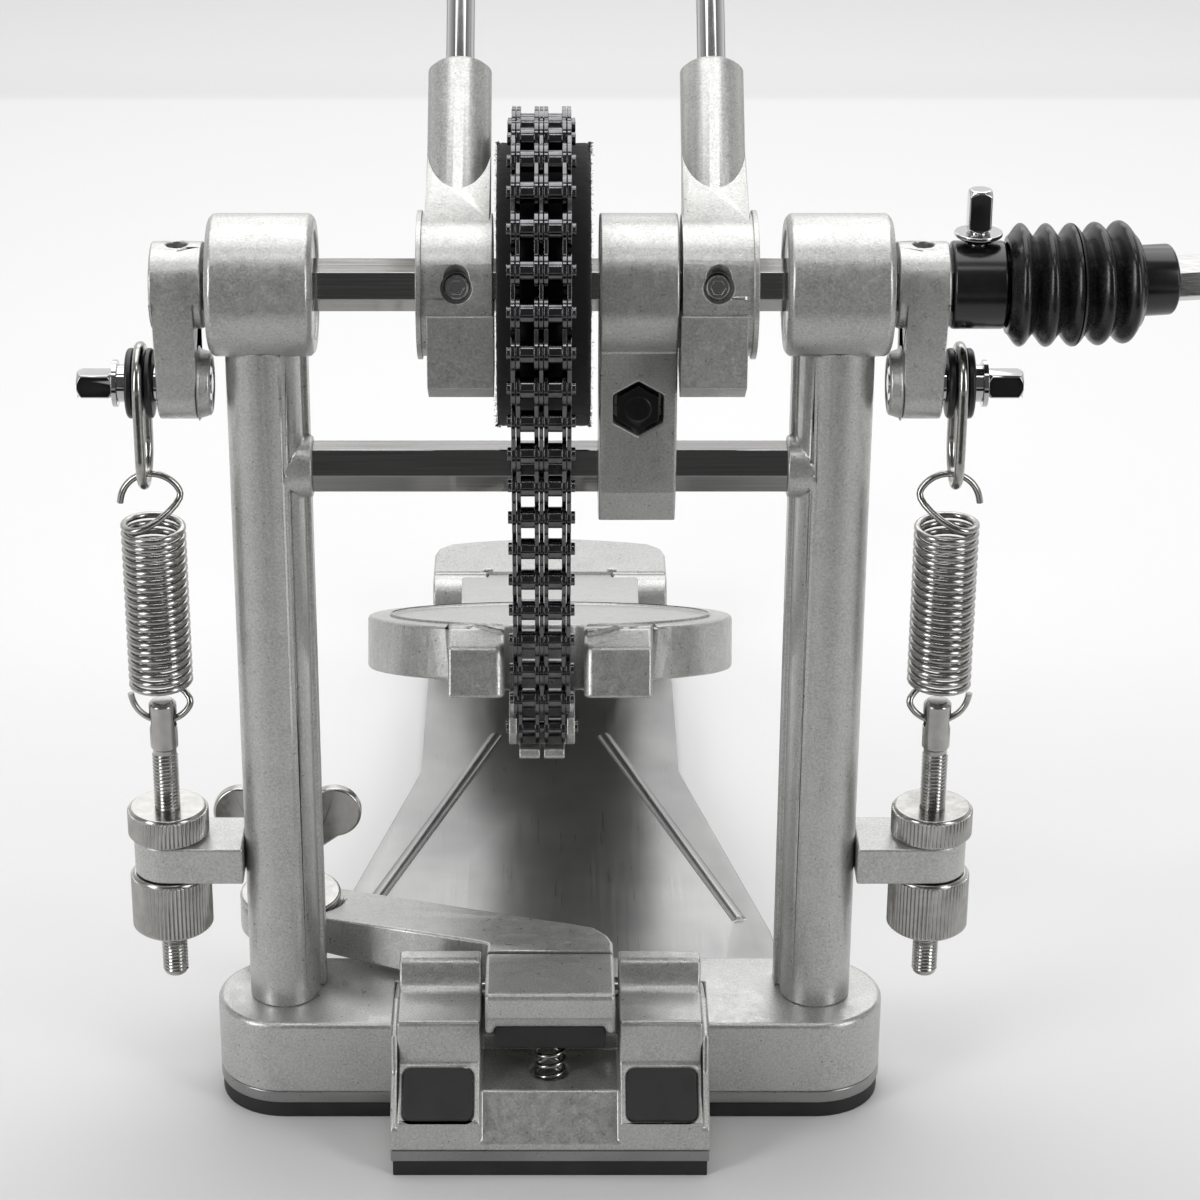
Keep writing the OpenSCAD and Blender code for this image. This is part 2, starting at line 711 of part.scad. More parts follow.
module drive_axle() color("#8f9194") {
    axle_hex(axle_af, block_x + mid_gap / 2 + 1, coupler_out - 2);
    axle_round(journal_d, housing_in + bearing_inset, housing_out - bearing_inset);
    axle_round(mid_journal_d, block_x + mid_gap / 2, block_x + block_t / 2 - 0.5);
}

module axle_hole(x0, x1) axle_hex(axle_af + 2 * run_gap, x0, x1);

module cam() color("#9fa1a3") difference() {
    axle_round(2 * disc_r, cam_x0 + 0.8, cam_x0 + cam_w - 0.8);
    for (x = [cam_x0, cam_x0 + cam_w - 6.5]) difference() {
        axle_round(2 * disc_r - 7, x, x + 6.5);
        axle_round(22, x, x + 6.5);
    }
    for (i = [0 : 4]) translate([-far, 0, axle_h]) rotate([72 * i + 20, 0, 0])
        translate([0, 0, 19.5]) rotate([0, 90, 0]) cylinder(d = 9, h = 2 * far);
    axle_hole(-far, far);
}

module cam_felt() color("#161616") difference() {
    axle_round(2 * felt_r, cam_x0, cam_x0 + cam_w);
    axle_round(2 * disc_r, -far, far);
}

// Chain

// Outline of a chain plate between two points: round ends and a narrow waist
module plate_shape(p, q) {
    v = q - p;
    translate(p) rotate(atan2(v[1], v[0])) {
        circle(d = link_h, $fn = 32);
        translate([norm(v), 0]) circle(d = link_h, $fn = 32);
        translate([0, -link_h * 0.34]) square([norm(v), link_h * 0.68]);
    }
}

module chain_plates(p, q, xs, t) {
    for (x = xs) along_x(chain_x + x - t / 2, chain_x + x + t / 2) plate_shape(p, q);
}

module chain_bar(p, d, x0, x1) {
    translate([chain_x + x0, p[0], p[1]]) rotate([0, 90, 0])
        cylinder(d = d, h = x1 - x0, $fn = 32);
}

// Inner link: two strands of two plates and two rollers each, bored for the pins
module inner_link(p, q) {
    difference() {
        union() {
            for (s = [-1, 1]) {
                chain_plates(p, q, [s * strand_x - roller_l / 2 - link_t / 2,
                                    s * strand_x + roller_l / 2 + link_t / 2], link_t);
                for (e = [p, q]) chain_bar(e, roller_d, s * strand_x - roller_l / 2 - eps,
                                           s * strand_x + roller_l / 2 + eps);
            }
        }
        for (e = [p, q]) chain_bar(e, pin_d + 2 * run_gap, -pin_half - 1, pin_half + 1);
    }
}

// Outer link: two side plates and a middle plate on two pins
module outer_link(p, q) {
    chain_plates(p, q, [-outer_x - link_t / 2, outer_x + link_t / 2], link_t);
    chain_plates(p, q, [0], web_t);
    for (e = [p, q]) chain_bar(e, pin_d, -pin_half, pin_half);
}

// Links of one stretch, fused where they turn on the same body
module link_row(points, first_outer) {
    for (i = [0 : len(points) - 2])
        if ((i % 2 == 0) == first_outer) outer_link(points[i], points[i + 1]);
        else inner_link(points[i], points[i + 1]);
}

wrap_points = [for (i = [3 : 3 + wrapped_links]) cam_point(-wrap_start + i * cam_step)];
link_points = [for (i = [3 : -1 : 0]) cam_point(-wrap_start + i * cam_step)];
run_points = [for (i = [0 : free_links]) run_start + i * chain_pitch * run_dir];

module wrapped_chain() color("#1f1f21") {
    link_row(wrap_points, true);
    // Block that anchors the last link to the cam
    e = wrap_points[wrapped_links];
    along_x(chain_x - 5.6, chain_x + 5.6)
        translate(e) rotate(-(-wrap_start + (3 + wrapped_links) * cam_step))
            translate([-2.4, -5.5]) square([link_h / 2 + 2.6, 11]);
}

module chain_link_4() color("#1f1f21") inner_link(link_points[0], link_points[1]);
module chain_link_3() color("#1f1f21") outer_link(link_points[1], link_points[2]);
module chain_link_2() color("#1f1f21") inner_link(link_points[2], link_points[3]);
module chain_link_1() color("#1f1f21") outer_link(link_points[3], run_points[0]);
module chain_run() color("#1f1f21") {
    link_row(run_points, false);
    chain_bar(run_end, end_pin_d, -clip_out - 0.8, clip_out + 0.8);
}

// Footboard

module board_place() translate([0, hinge_y, hinge_h]) rotate([-board_slope, 0, 0]) children();

function board_local(p) = let (y = p[0] - hinge_y, z = p[1] - hinge_h)
    [y * cos(board_slope) - z * sin(board_slope), y * sin(board_slope) + z * cos(board_slope)];

module board_outline(inset) {
    translate([0, toe_y]) circle(toe_r - inset);
    polygon([[-waist_w + inset, toe_y + 34], [waist_w - inset, toe_y + 34],
             [waist_w - inset, toe_y + 60], [heel_w - inset, -14 - inset],
             [-heel_w + inset, -14 - inset], [-waist_w + inset, toe_y + 60]]);
}

module footboard() color("silver") board_place() difference() {
    union() {
        translate([0, 0, board_foot]) linear_extrude(board_t) board_outline(0);
        translate([0, toe_y, board_foot]) cylinder(r = toe_r, h = toe_top - board_foot);
        // Block in front of the round toe, with a sloping upper edge
        along_x(-25, 25)
            polygon([[-board_l, board_foot - block_drop], [-board_l, board_top],
                     [-board_l + 6, toe_top - 0.3], [-board_l + 40, toe_top - 0.3],
                     [-board_l + 40, board_foot - block_drop]]);
        // Knuckle round the heel pin
        along_x(-knuckle_half, knuckle_half) {
            circle(knuckle_r);
            polygon([[-16, board_foot], [-16, board_top], [0, board_top], [0, board_foot - 4]]);
        }
        // Boss under the toe that takes the chain clip
        translate([chain_x - 11, notch_end - 2, board_foot - block_drop])
            cube([22, boss_l, block_drop + 2]);
    }
    // Hollow underside with ribs left standing
    difference() {
        translate([0, 0, board_foot - 10]) linear_extrude(board_t - skin_t + 10) difference() {
            board_outline(rim_t);
            translate([-2, -far]) square([4, 2 * far]);
            for (y = [-30 : -rib_gap : toe_y]) translate([-far, y]) square([2 * far, rib_t]);
        }
        translate([-30, -board_l - 1, board_foot - 20]) cube([60, 52, 60]);
    }
    // Notch that the chain runs through
    translate([notch_x, 0, board_foot - 10]) linear_extrude(40) {
        translate([-notch_half, -far]) square([2 * notch_half, far + notch_end - notch_corner]);
        translate([-notch_half + notch_corner, -far])
            square([2 * (notch_half - notch_corner), far + notch_end]);
        for (x = [-1, 1]) translate([x * (notch_half - notch_corner), notch_end - notch_corner])
            circle(notch_corner);
        for (s = [0, 1]) mirror([s, 0]) translate([notch_half - eps, -board_l - eps]) difference() {
            square(notch_edge);
            translate([notch_edge, notch_edge]) circle(notch_edge, $fn = 24);
        }
    }
    translate([-far, 0, 0]) rotate([0, 90, 0])
        cylinder(d = heel_pin_d + 2 * run_gap, h = 2 * far);
    // Shallow round seat on the toe, left bare
    translate([0, toe_y, toe_top - 0.4]) cylinder(r = toe_r - 6, h = 5);
}

clip_pin = board_local(run_end);
clip_slack = [1.7, 2.6];                 // travel of the end pin in its slot, to each end
clip_tilt = 30;                          // slope of the slot against the footboard
clip_r = end_pin_d / 2 + 0.5;
clip_drop = link_h / 2 + 1.1;            // foot's upper face below the end pin
clip_len = link_h / 2 + clip_slack[1] + 0.5;
clip_rise = board_foot - block_drop - clip_pin[1];
clip_foot = 5.6;                         // half width of the split foot under the chain's end
clip_split = 0.5;
module chain_clip() color("silver") board_place() {
    for (x = [chain_x - clip_out, chain_x + clip_in]) along_x(x, x + clip_out - clip_in)
        difference() {
            translate(clip_pin)
                polygon([[-5.6, -1.5], [-5.6, 2.6], [-2.6, 3.5], [0.2, 4.9], [3.2, clip_rise],
                         [clip_len + 8, clip_rise], [clip_len + 2.6, -clip_drop],
                         [clip_len, -clip_drop], [-3, -clip_drop + 1.4]]);
            translate(clip_pin) rotate(clip_tilt) {
                for (y = [-clip_slack[0], clip_slack[1]])
                    translate([y, 0]) circle(clip_r, $fn = 32);
                translate([-clip_slack[0], -clip_r])
                    square([clip_slack[0] + clip_slack[1], 2 * clip_r]);
            }
        }
    // Wall behind the chain's end that joins the cheeks
    along_x(chain_x - clip_out, chain_x + clip_out) translate(clip_pin)
        polygon([[clip_len, -clip_drop], [clip_len + 1.4, clip_rise],
                 [clip_len + 8, clip_rise], [clip_len + 2.6, -clip_drop]]);
    // Split foot that reaches forward under the chain's end
    for (s = [0, 1]) translate([chain_x, 0, 0]) mirror([s, 0, 0])
        along_x(clip_split, clip_foot) translate(clip_pin)
            polygon([[-3.6, -clip_drop - 2.4], [-4.2, -clip_drop - 1.8], [-4.2, -clip_drop],
                     [clip_len + 2.6, -clip_drop], [clip_len + 2.2, -clip_drop - 2.4]]);
}

// Beater hubs, rods and heads

module lean_place(x) translate([x, 0, axle_h]) rotate([-beater_lean, 0, 0]) children();

module beater_hub(x, side) difference() {
    union() {
        lean_place(x) {
            // Body that tapers from the axle into the rod holder
            rotate([0, 0, 180]) mirror([0, 0, 1]) along_x(-neck_half, neck_half)
                link_outline(hub_d / 2 - 0.4, neck_tip, neck_l);
            cylinder(d = holder_d, h = holder_l - 0.8);
            cylinder(d = holder_d - 1.6, h = holder_l);
        }
        axle_round(hub_d - 0.2, x - hub_w / 2, x + hub_w / 2);
        axle_round(flange_d, x + side * hub_w / 2 - (side < 0 ? flange_t : 0),
                   x + side * hub_w / 2 + (side < 0 ? 0 : flange_t));
        // Foot in front that clamps the hub on the axle
        translate([x, 0, 0]) along_x(side < 0 ? -hub_w / 2 + foot_step : -hub_w / 2 - 0.3,
                side < 0 ? hub_w / 2 + 0.3 : hub_w / 2 - foot_step)
            polygon([[-17.5, axle_h - 2], [-19.5, axle_h - 12], [-19.5, axle_h - 19],
                     [-12, axle_h - 24], [0, axle_h - 20], [0, axle_h - 2]]);
    }
    lean_place(x) translate([0, 0, rod_bore_foot]) cylinder(d = rod_d + 2 * run_gap, h = far);
    axle_hole(-far, far);
    hub_bore(x);
}

// Bore for the clamp screw, opened upwards into a drop-shaped recess
module hub_bore(x) translate([x, 0, axle_h]) rotate([90 - screw_tilt, 0, 0]) {
    cylinder(d = screw_d + 0.1, h = far);
    translate([0, 0, 11.5]) cylinder(d = recess_d, h = far);
    translate([0, 0, 11.5]) rotate([-26, 0, 0]) cylinder(d = recess_d - 1.4, h = far);
}

module hub_screw(x) translate([x, 0, axle_h]) rotate([90 - screw_tilt, 0, 0])
    translate([0, 0, axle_af / 2 + 0.1]) difference() {
        chamfered(screw_d, 7.4, 0.5);
        translate([0, 0, 4.6]) cylinder(d = 3 / cos(30), h = 5, $fn = 6);
    }

module beater_rod(x) lean_place(x) translate([0, 0, rod_foot]) chamfered(rod_d, rod_l, 0.6);

// Felt head on a plate at the end of its rod, its axis square to the rod
module beater_head(x) lean_place(x) translate([0, 0, rod_foot + rod_l - 20])
    difference() {
        union() {
            rotate([90, 0, 0]) translate([0, 0, -head_l / 2]) chamfered(head_d, head_l, 4);
            translate([0, 0, -head_d / 2 - 5]) cylinder(d = 15, h = 12);
        }
        translate([0, 0, -far / 2]) cylinder(d = rod_d, h = far / 2 + 20);
    }

module beater_hub_left() color("silver") beater_hub(hub_x[0], -1);
module beater_hub_right() color("silver") beater_hub(hub_x[1], 1);
module hub_screw_left() color("#d8d8d8") hub_screw(hub_x[0]);
module hub_screw_right() color("#d8d8d8") hub_screw(hub_x[1]);
module beater_rod_left() color("#c9c9c9") beater_rod(hub_x[0]);
module beater_rod_right() color("#c9c9c9") beater_rod(hub_x[1]);
module beater_head_left() color("#e9e6df") beater_head(hub_x[0]);
module beater_head_right() color("#e9e6df") beater_head(hub_x[1]);

// Rockers, hangers and springs, drawn for the left side

module rocker() difference() {
    union() {
        axle_round(rocker_hub_d, -rocker_out, -rocker_in);
        along_x(-arm_out, -arm_in)
            translate([0, axle_h]) link_outline(rocker_hub_d / 2, crank_end_r, crank_r);
        translate([-arm_in - eps, 0, crank_z]) rotate([0, 90, 0])
            cylinder(r1 = crank_end_r, r2 = crank_end_r - 1, h = arm_in - boss_in);
    }
    axle_hole(-far, far);
    translate([-far, 0, crank_z]) rotate([0, 90, 0]) cylinder(d = 5.1, h = far);
    translate([-arm_in, 0, crank_z]) rotate([0, 90, 0]) cylinder(d = 12, h = far);
    translate([-(rocker_in + rocker_out) / 2, 0, axle_h]) cylinder(d = 5, h = far);
}

module hanger_bolt() translate([0, 0, crank_z]) rotate([0, -90, 0]) {
    translate([0, 0, boss_in]) cylinder(d = 5, h = arm_out - boss_in);
    translate([0, 0, boss_in + 0.3]) cylinder(d = 8 / cos(30), h = arm_in - boss_in - 0.3, $fn = 6);
    translate([0, 0, arm_out]) cylinder(d = 9.4, h = hanger_x - wheel_w / 2 - arm_out - side_gap);
    translate([0, 0, arm_out]) cylinder(d = hanger_bolt_d, h = 10);
    translate([0, 0, hanger_x + wheel_w / 2 + side_gap]) cylinder(d = 9, h = 2);
    translate([0, 0, hanger_x + wheel_w / 2 + side_gap + 2]) cylinder(d = 11.4, h = 1.2);
    translate([0, 0, hanger_x + wheel_w / 2 + side_gap + 3.2]) intersection() {
        translate([-2.9, -2.9, -1]) cube([5.8, 5.8, 9.6]);
        chamfered(7.8, 8.6, 1);
    }
}

module hanger_wheel() translate([-hanger_x - wheel_w / 2, 0, crank_z]) rotate([0, 90, 0])
    rotate_extrude() {
        b = hanger_bolt_d / 2 + run_gap;
        c = wheel_w / 2;
        polygon([[b, 0], [wheel_r - 0.5, 0], [wheel_r, 0.5], [wheel_r, c - groove_w / 2],
                 [groove_r + 0.5, c - groove_w / 2], [groove_r, c - groove_w / 2 + 0.6],
                 [groove_r, c + groove_w / 2 - 0.6], [groove_r + 0.5, c + groove_w / 2],
                 [wheel_r, c + groove_w / 2], [wheel_r, wheel_w - 0.5],
                 [wheel_r - 0.5, wheel_w], [b, wheel_w]]);
    }

// Long ring of thick wire, in the plane of Y and Z
module hanger_ring() translate([-hanger_x, 0, 0]) {
    translate([0, 0, crank_z]) rotate([90, 0, 90]) rotate_extrude(angle = 180)
        translate([ring_r, 0]) circle(d = ring_wire, $fn = 24);
    translate([0, 0, ring_foot]) rotate([-90, 0, 90]) rotate_extrude(angle = 180)
        translate([ring_r, 0]) circle(d = ring_wire, $fn = 24);
    for (s = [-1, 1]) translate([0, s * ring_r, ring_foot])
        cylinder(d = ring_wire, h = crank_z - ring_foot, $fn = 24);
}

// Path of a tension spring: lower hook, coils, upper hook, all on one radius
lower_leg = spring_foot - (hook_bottom + coil_r);
upper_leg = (hook_top - coil_r) - spring_head;
hook_rings = 8;
coil_rings = spring_coils * spring_rings;
spring_path = concat(
    [for (i = [0 : hook_rings]) let (a = 180 * (1 - i / hook_rings))
        [coil_r * cos(a + 180) * -1, 0, hook_bottom + coil_r - coil_r * sin(a)]],
    [for (i = [2 : coil_rings - 2]) let (a = 360 * i / spring_rings,
        lift = i / coil_rings)
        [coil_r * cos(a), coil_r * sin(a),
         spring_foot + lift * (spring_head - spring_foot)]],
    [for (i = [0 : hook_rings]) let (a = 180 * i / hook_rings)
        [coil_r * cos(a), 0, hook_top - coil_r + coil_r * sin(a)]]);

function far_gap(p, skip) = min([for (i = [0 : len(p) - 1]) for (j = [i + skip : 1 : len(p) - 1])
    norm(p[i] - p[j])]);
echo(spring_least_gap = far_gap(spring_path, spring_rings - 2) - spring_wire);

module spring() translate([-spring_x, 0, 0]) wire(spring_path, spring_wire, [0, 1, 0]);

module tension_rod() translate([-spring_x, 0, 0]) difference() {
    union() {
        translate([0, 0, tension_foot]) chamfered(tension_d, tension_head_foot - tension_foot + 1, 0.6);
        translate([0, 0, tension_head_foot])
            chamfered(tension_head_d, tension_top - tension_head_foot, 0.9);
    }
    translate([0, 0, eye_h]) rotate([0, 90, 0]) cylinder(d = 3.7, h = far, center = true, $fn = 32);
}

module adjuster(s) translate([s * spring_x, 0, 0])
    knurled_nut(bracket_top - bracket_t - nut_gap - adjuster_t, adjuster_t);

module rocker_left() color("silver") rocker();
module rocker_right() color("silver") mirror([1, 0, 0]) rocker();
module hanger_bolt_left() color("#3a3a3a") hanger_bolt();
module hanger_bolt_right() color("#b0b0b0") mirror([1, 0, 0]) hanger_bolt();
module hanger_wheel_left() color("#141414") hanger_wheel();
module hanger_wheel_right() color("#141414") mirror([1, 0, 0]) hanger_wheel();
module hanger_ring_left() color("#b9b4a8") hanger_ring();
module hanger_ring_right() color("#b9b4a8") mirror([1, 0, 0]) hanger_ring();
module spring_left() color("#a5a5a5") spring();
module spring_right() color("#a5a5a5") mirror([1, 0, 0]) spring();
module tension_rod_left() color("#a0a0a0") tension_rod();
module tension_rod_right() color("#a0a0a0") mirror([1, 0, 0]) tension_rod();
module adjuster_left() color("#b5b5b5") adjuster(-1);
module adjuster_right() color("#b5b5b5") adjuster(1);

// Drive coupling

module joint_place() translate([joint_x, 0, axle_h]) rotate([0, 0, bar_bend]) children();

// Pair of fork ears that hold the cross, with their pin bores on the Z axis;
// the fork opens towards +X and its root lies at x0
module fork(x0) difference() {
    intersection() {
        for (s = [0, 1]) mirror([0, 0, s]) {
            translate([x0, -yoke_ear_w / 2, yoke_r - yoke_ear_t])
                cube([-x0, yoke_ear_w, yoke_ear_t]);
            translate([0, 0, yoke_r - yoke_ear_t]) cylinder(d = yoke_ear_w, h = yoke_ear_t);
        }
        rotate([0, 90, 0]) cylinder(r = yoke_r + 0.4, h = far, center = true);
    }
    cylinder(d = cross_pin_d + 2 * run_gap, h = far, center = true, $fn = 32);
}

module input_coupler() color("#141414") difference() {
    union() {
        translate([coupler_in, 0, axle_h]) rotate([0, 90, 0])
            chamfered(coupler_d, coupler_out - coupler_in, 0.5);
        axle_round(2 * yoke_r, coupler_out - 1, joint_x - 8.5);
        translate([joint_x, 0, axle_h]) fork(-9);
    }
    axle_hole(coupler_in - 1, coupler_out - 1.9);
    translate([101.3, 0, axle_h]) cylinder(d = 5, h = far, $fn = 32);
}

module coupler_bolt() color("#b0b0b0") translate([101.3, 0, axle_h]) {
    translate([0, 0, axle_af / 2 + 1]) cylinder(d = 4.8, h = coupler_d / 2 - 4, $fn = 32);
    translate([0, 0, coupler_d / 2 + 0.3]) cylinder(d1 = 6, d2 = 11.4, h = 1.6, $fn = 32);
    translate([0, 0, coupler_d / 2 + 1.9]) cylinder(d = 11.4, h = 0.9, $fn = 32);
    translate([0, 0, coupler_d / 2 + 2.8]) intersection() {
        translate([-2.75, -2.75, -1]) cube([5.5, 5.5, 12]);
        chamfered(7.3, 10.4, 1.2);
    }
}

module joint_cross() color("#8f9194") joint_place() {
    cube([7, 7, 7], center = true);
    cylinder(d = cross_pin_d, h = 2 * yoke_r - 0.4, center = true, $fn = 32);
    rotate([90, 0, 0]) cylinder(d = cross_pin_d, h = 2 * yoke_r - 0.4, center = true, $fn = 32);
}

module output_coupler() color("#141414") joint_place() difference() {
    union() {
        translate([output_start, 0, 0]) rotate([0, 90, 0]) chamfered(output_d, output_len, 0.5);
        translate([8.5, 0, 0]) rotate([0, 90, 0]) cylinder(r = yoke_r, h = 6);
        rotate([90, 0, 0]) mirror([1, 0, 0]) fork(-9);
    }
    translate([output_start + 1, 0, 0]) rotate([90, 0, 0])
        hex_bar(bar_af + 2 * run_gap, far);
}

module drive_bar() color("#c4c4c4") joint_place()
    translate([output_start + 1.1, 0, 0]) rotate([90, 0, 0]) hex_bar(bar_af, bar_l);

// Rubber boot: a bore and round folds, turned about the mean line of the bent joint
fold_step = (boot_back + boot_front - 4) / boot_folds;
function fold_profile(i) = let (x = -boot_back + 2 + i * fold_step)
    [for (a = [0 : 30 : 180]) [boot_d / 2 - fold_step * 0.46 + fold_step * 0.46 * sin(a),
     x + fold_step / 2 - fold_step * 0.46 * cos(a)]];
module boot() color("#181818") translate([joint_x, 0, axle_h])
    rotate([0, 0, bar_bend / 2]) rotate([0, 90, 0]) rotate_extrude()
        polygon(concat([[boot_bore / 2, -boot_back], [boot_bore / 2 + boot_wall + 1, -boot_back]],
            [for (i = [0 : boot_folds - 1]) each fold_profile(i)],
            [[boot_bore / 2 + boot_wall + 0.6, boot_front], [boot_bore / 2, boot_front]]));

base_casting();
floor_plate();
rubber_pads();
tower_left();
tower_right();
axle_bearings();
crossbar();
centre_block();
centre_bolt();
spring_brackets();
lock_nuts();
heel_block();
heel_pin();
clamp_block();
clamp_pin();
clamp_spring();
clamp_lever();
lever_pad();
wing_bolt();
cam_axle();
cam();
cam_felt();
wrapped_chain();
chain_link_4();
chain_link_3();
chain_link_2();
chain_link_1();
chain_run();
footboard();
chain_clip();
beater_hub_left();
beater_hub_right();
hub_screw_left();
hub_screw_right();
beater_rod_left();
beater_rod_right();
beater_head_left();
beater_head_right();
rocker_left();
rocker_right();
hanger_bolt_left();
hanger_bolt_right();
hanger_wheel_left();
hanger_wheel_right();
hanger_ring_left();
hanger_ring_right();
spring_left();
spring_right();
tension_rod_left();
tension_rod_right();
adjuster_left();
adjuster_right();
drive_axle();
input_coupler();
coupler_bolt();
joint_cross();
output_coupler();
drive_bar();
boot();
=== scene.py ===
"""Looks of a double bass drum pedal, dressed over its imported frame.

Cast and tumbled aluminium, bright drawn steel, black oiled chain, felt and rubber,
on a white studio floor. Lengths are in metres; MM turns millimetres into metres.
"""

import json
import math
import random

import bmesh
import bpy
from mathutils import Matrix, Vector, noise

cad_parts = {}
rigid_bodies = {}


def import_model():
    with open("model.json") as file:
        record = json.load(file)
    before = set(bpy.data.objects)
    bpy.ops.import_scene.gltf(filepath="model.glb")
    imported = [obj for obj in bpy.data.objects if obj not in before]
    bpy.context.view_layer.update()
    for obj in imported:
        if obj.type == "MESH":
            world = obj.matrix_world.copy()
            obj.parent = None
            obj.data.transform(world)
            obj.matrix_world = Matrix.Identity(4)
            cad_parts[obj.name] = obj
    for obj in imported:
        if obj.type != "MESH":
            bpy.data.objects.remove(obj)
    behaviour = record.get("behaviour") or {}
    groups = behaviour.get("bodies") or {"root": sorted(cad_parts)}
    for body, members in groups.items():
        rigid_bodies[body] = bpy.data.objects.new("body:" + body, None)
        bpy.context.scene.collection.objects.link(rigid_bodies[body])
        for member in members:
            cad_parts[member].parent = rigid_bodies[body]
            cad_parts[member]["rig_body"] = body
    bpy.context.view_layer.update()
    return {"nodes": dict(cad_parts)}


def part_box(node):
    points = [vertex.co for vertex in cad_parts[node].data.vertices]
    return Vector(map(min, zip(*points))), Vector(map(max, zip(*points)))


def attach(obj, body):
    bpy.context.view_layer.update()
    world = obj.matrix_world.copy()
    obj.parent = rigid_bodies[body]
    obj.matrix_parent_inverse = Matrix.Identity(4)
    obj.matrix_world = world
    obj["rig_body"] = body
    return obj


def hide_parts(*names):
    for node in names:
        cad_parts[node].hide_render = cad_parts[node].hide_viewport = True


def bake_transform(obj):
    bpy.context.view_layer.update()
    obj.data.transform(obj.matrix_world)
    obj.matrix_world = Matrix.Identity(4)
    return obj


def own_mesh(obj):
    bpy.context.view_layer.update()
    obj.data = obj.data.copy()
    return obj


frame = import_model()
cad_nodes = frame["nodes"]

MM = 0.001

# Places and sizes that the new pieces share with the frame, in millimetres.
AXLE_HEIGHT = 222.0
SPRING_X = 97.4
JOINT_X = 124.0
BAR_BEND = math.radians(10)
BEATER_LEAN = math.radians(45)
SIDES = {"left": -1, "right": 1}


# Camera, at the photograph's place and with its frame.

PHOTO_PIXELS = 1200
FOCAL_PIXELS = 3425
MIDDLE_PIXEL = 550
SENSOR_WIDTH = 36
CAMERA_PITCH = math.radians(24.3)
CAMERA_PLACE = (0, -773.6 * MM, 489 * MM)


def make_camera():
    camera = bpy.data.objects.new("camera", bpy.data.cameras.new("camera"))
    bpy.context.scene.collection.objects.link(camera)
    camera.location = CAMERA_PLACE
    camera.rotation_euler = (math.pi / 2 - CAMERA_PITCH, 0, 0)
    camera.data.sensor_width = SENSOR_WIDTH
    camera.data.lens = FOCAL_PIXELS / PHOTO_PIXELS * SENSOR_WIDTH
    camera.data.shift_x = (PHOTO_PIXELS / 2 - MIDDLE_PIXEL) / PHOTO_PIXELS
    camera.data.clip_start = 0.02
    bpy.context.scene.camera = camera


# Materials. Each starts from the real one, with its grain in millimetres.


def paint(code):
    """An sRGB hex value as linear red, green, blue and alpha."""
    parts = [int(code[i : i + 2], 16) / 255 for i in (1, 3, 5)]
    linear = [c / 12.92 if c <= 0.04045 else ((c + 0.055) / 1.055) ** 2.4 for c in parts]
    return (*linear, 1)


def per_mm(size):
    """Texture scale that makes a pattern repeat about every size millimetres."""
    return 1 / (size * MM)


def new_material(name):
    material = bpy.data.materials.new(name)
    material.use_nodes = True
    material.node_tree.nodes.clear()
    return material


def add(material, kind, inputs=None, **settings):
    """Adds a node, sets it, and fills its inputs with values or with other outputs."""
    node = material.node_tree.nodes.new(kind)
    for key, value in settings.items():
        setattr(node, key, value)
    for key, value in (inputs or {}).items():
        if isinstance(value, bpy.types.NodeSocket):
            material.node_tree.links.new(value, node.inputs[key])
        else:
            node.inputs[key].default_value = value
    return node


def ramp(material, factor, stops):
    """A colour ramp over the factor, from stops of (place, grey or hex colour)."""
    node = add(material, "ShaderNodeValToRGB", {"Fac": factor})
    elements = node.color_ramp.elements
    while len(elements) < len(stops):
        elements.new(0.5)
    for element, (place, colour) in zip(elements, stops):
        element.position = place
        element.color = paint(colour) if isinstance(colour, str) else (colour,) * 3 + (1,)
    return node.outputs["Color"]


def grain(material, size, detail=3.0, stretch=(1, 1, 1), roughness=0.55):
    """Noise whose grains are about size millimetres, stretched along the axes."""
    place = add(material, "ShaderNodeTexCoord").outputs["Object"]
    if stretch != (1, 1, 1):
        place = add(
            material,
            "ShaderNodeMapping",
            {"Vector": place, "Scale": [1 / s for s in stretch]},
        ).outputs["Vector"]
    return add(
        material,
        "ShaderNodeTexNoise",
        {"Vector": place, "Scale": per_mm(size), "Detail": detail, "Roughness": roughness},
    ).outputs["Fac"]


def bumps(material, height, depth, strength=1.0, under=None):
    """Bump whose full height is depth millimetres."""
    inputs = {"Height": height, "Distance": depth * MM, "Strength": strength}
    if under is not None:
        inputs["Normal"] = under
    return add(material, "ShaderNodeBump", inputs).outputs["Normal"]


def finish(material, **inputs):
    """The shader and the output; inputs are the shader's own sockets."""
    names = {key.replace("_", " "): value for key, value in inputs.items()}
    shader = add(material, "ShaderNodeBsdfPrincipled", names)
    add(material, "ShaderNodeOutputMaterial", {"Surface": shader.outputs["BSDF"]})
    return material


def cast_aluminium():
    """Sand-cast and tumbled aluminium: a satin grey skin with fine pits and cloudy spots."""
    material = new_material("cast_aluminium")
    cloud = grain(material, 9, 2)
    sand = grain(material, 0.55, 4, roughness=0.7)
    pits = grain(material, 2.2, 3)
    colour = add(
        material,
        "ShaderNodeMix",
        {
            "Factor": ramp(material, sand, [(0.32, 0.0), (0.68, 1.0)]),
            "A": ramp(material, cloud, [(0.3, "#989897"), (0.7, "#aaaaa8")]),
            "B": paint("#c9c9c7"),
        },
        data_type="RGBA",
    )
    rough = ramp(material, pits, [(0.3, 0.27), (0.7, 0.42)])
    skin = bumps(material, pits, 0.05, 0.6)
    skin = bumps(material, sand, 0.03, 0.8, skin)
    return finish(
        material,
        Base_Color=colour.outputs["Result"],
        Metallic=0.7,
        Roughness=rough,
        Normal=skin,
    )


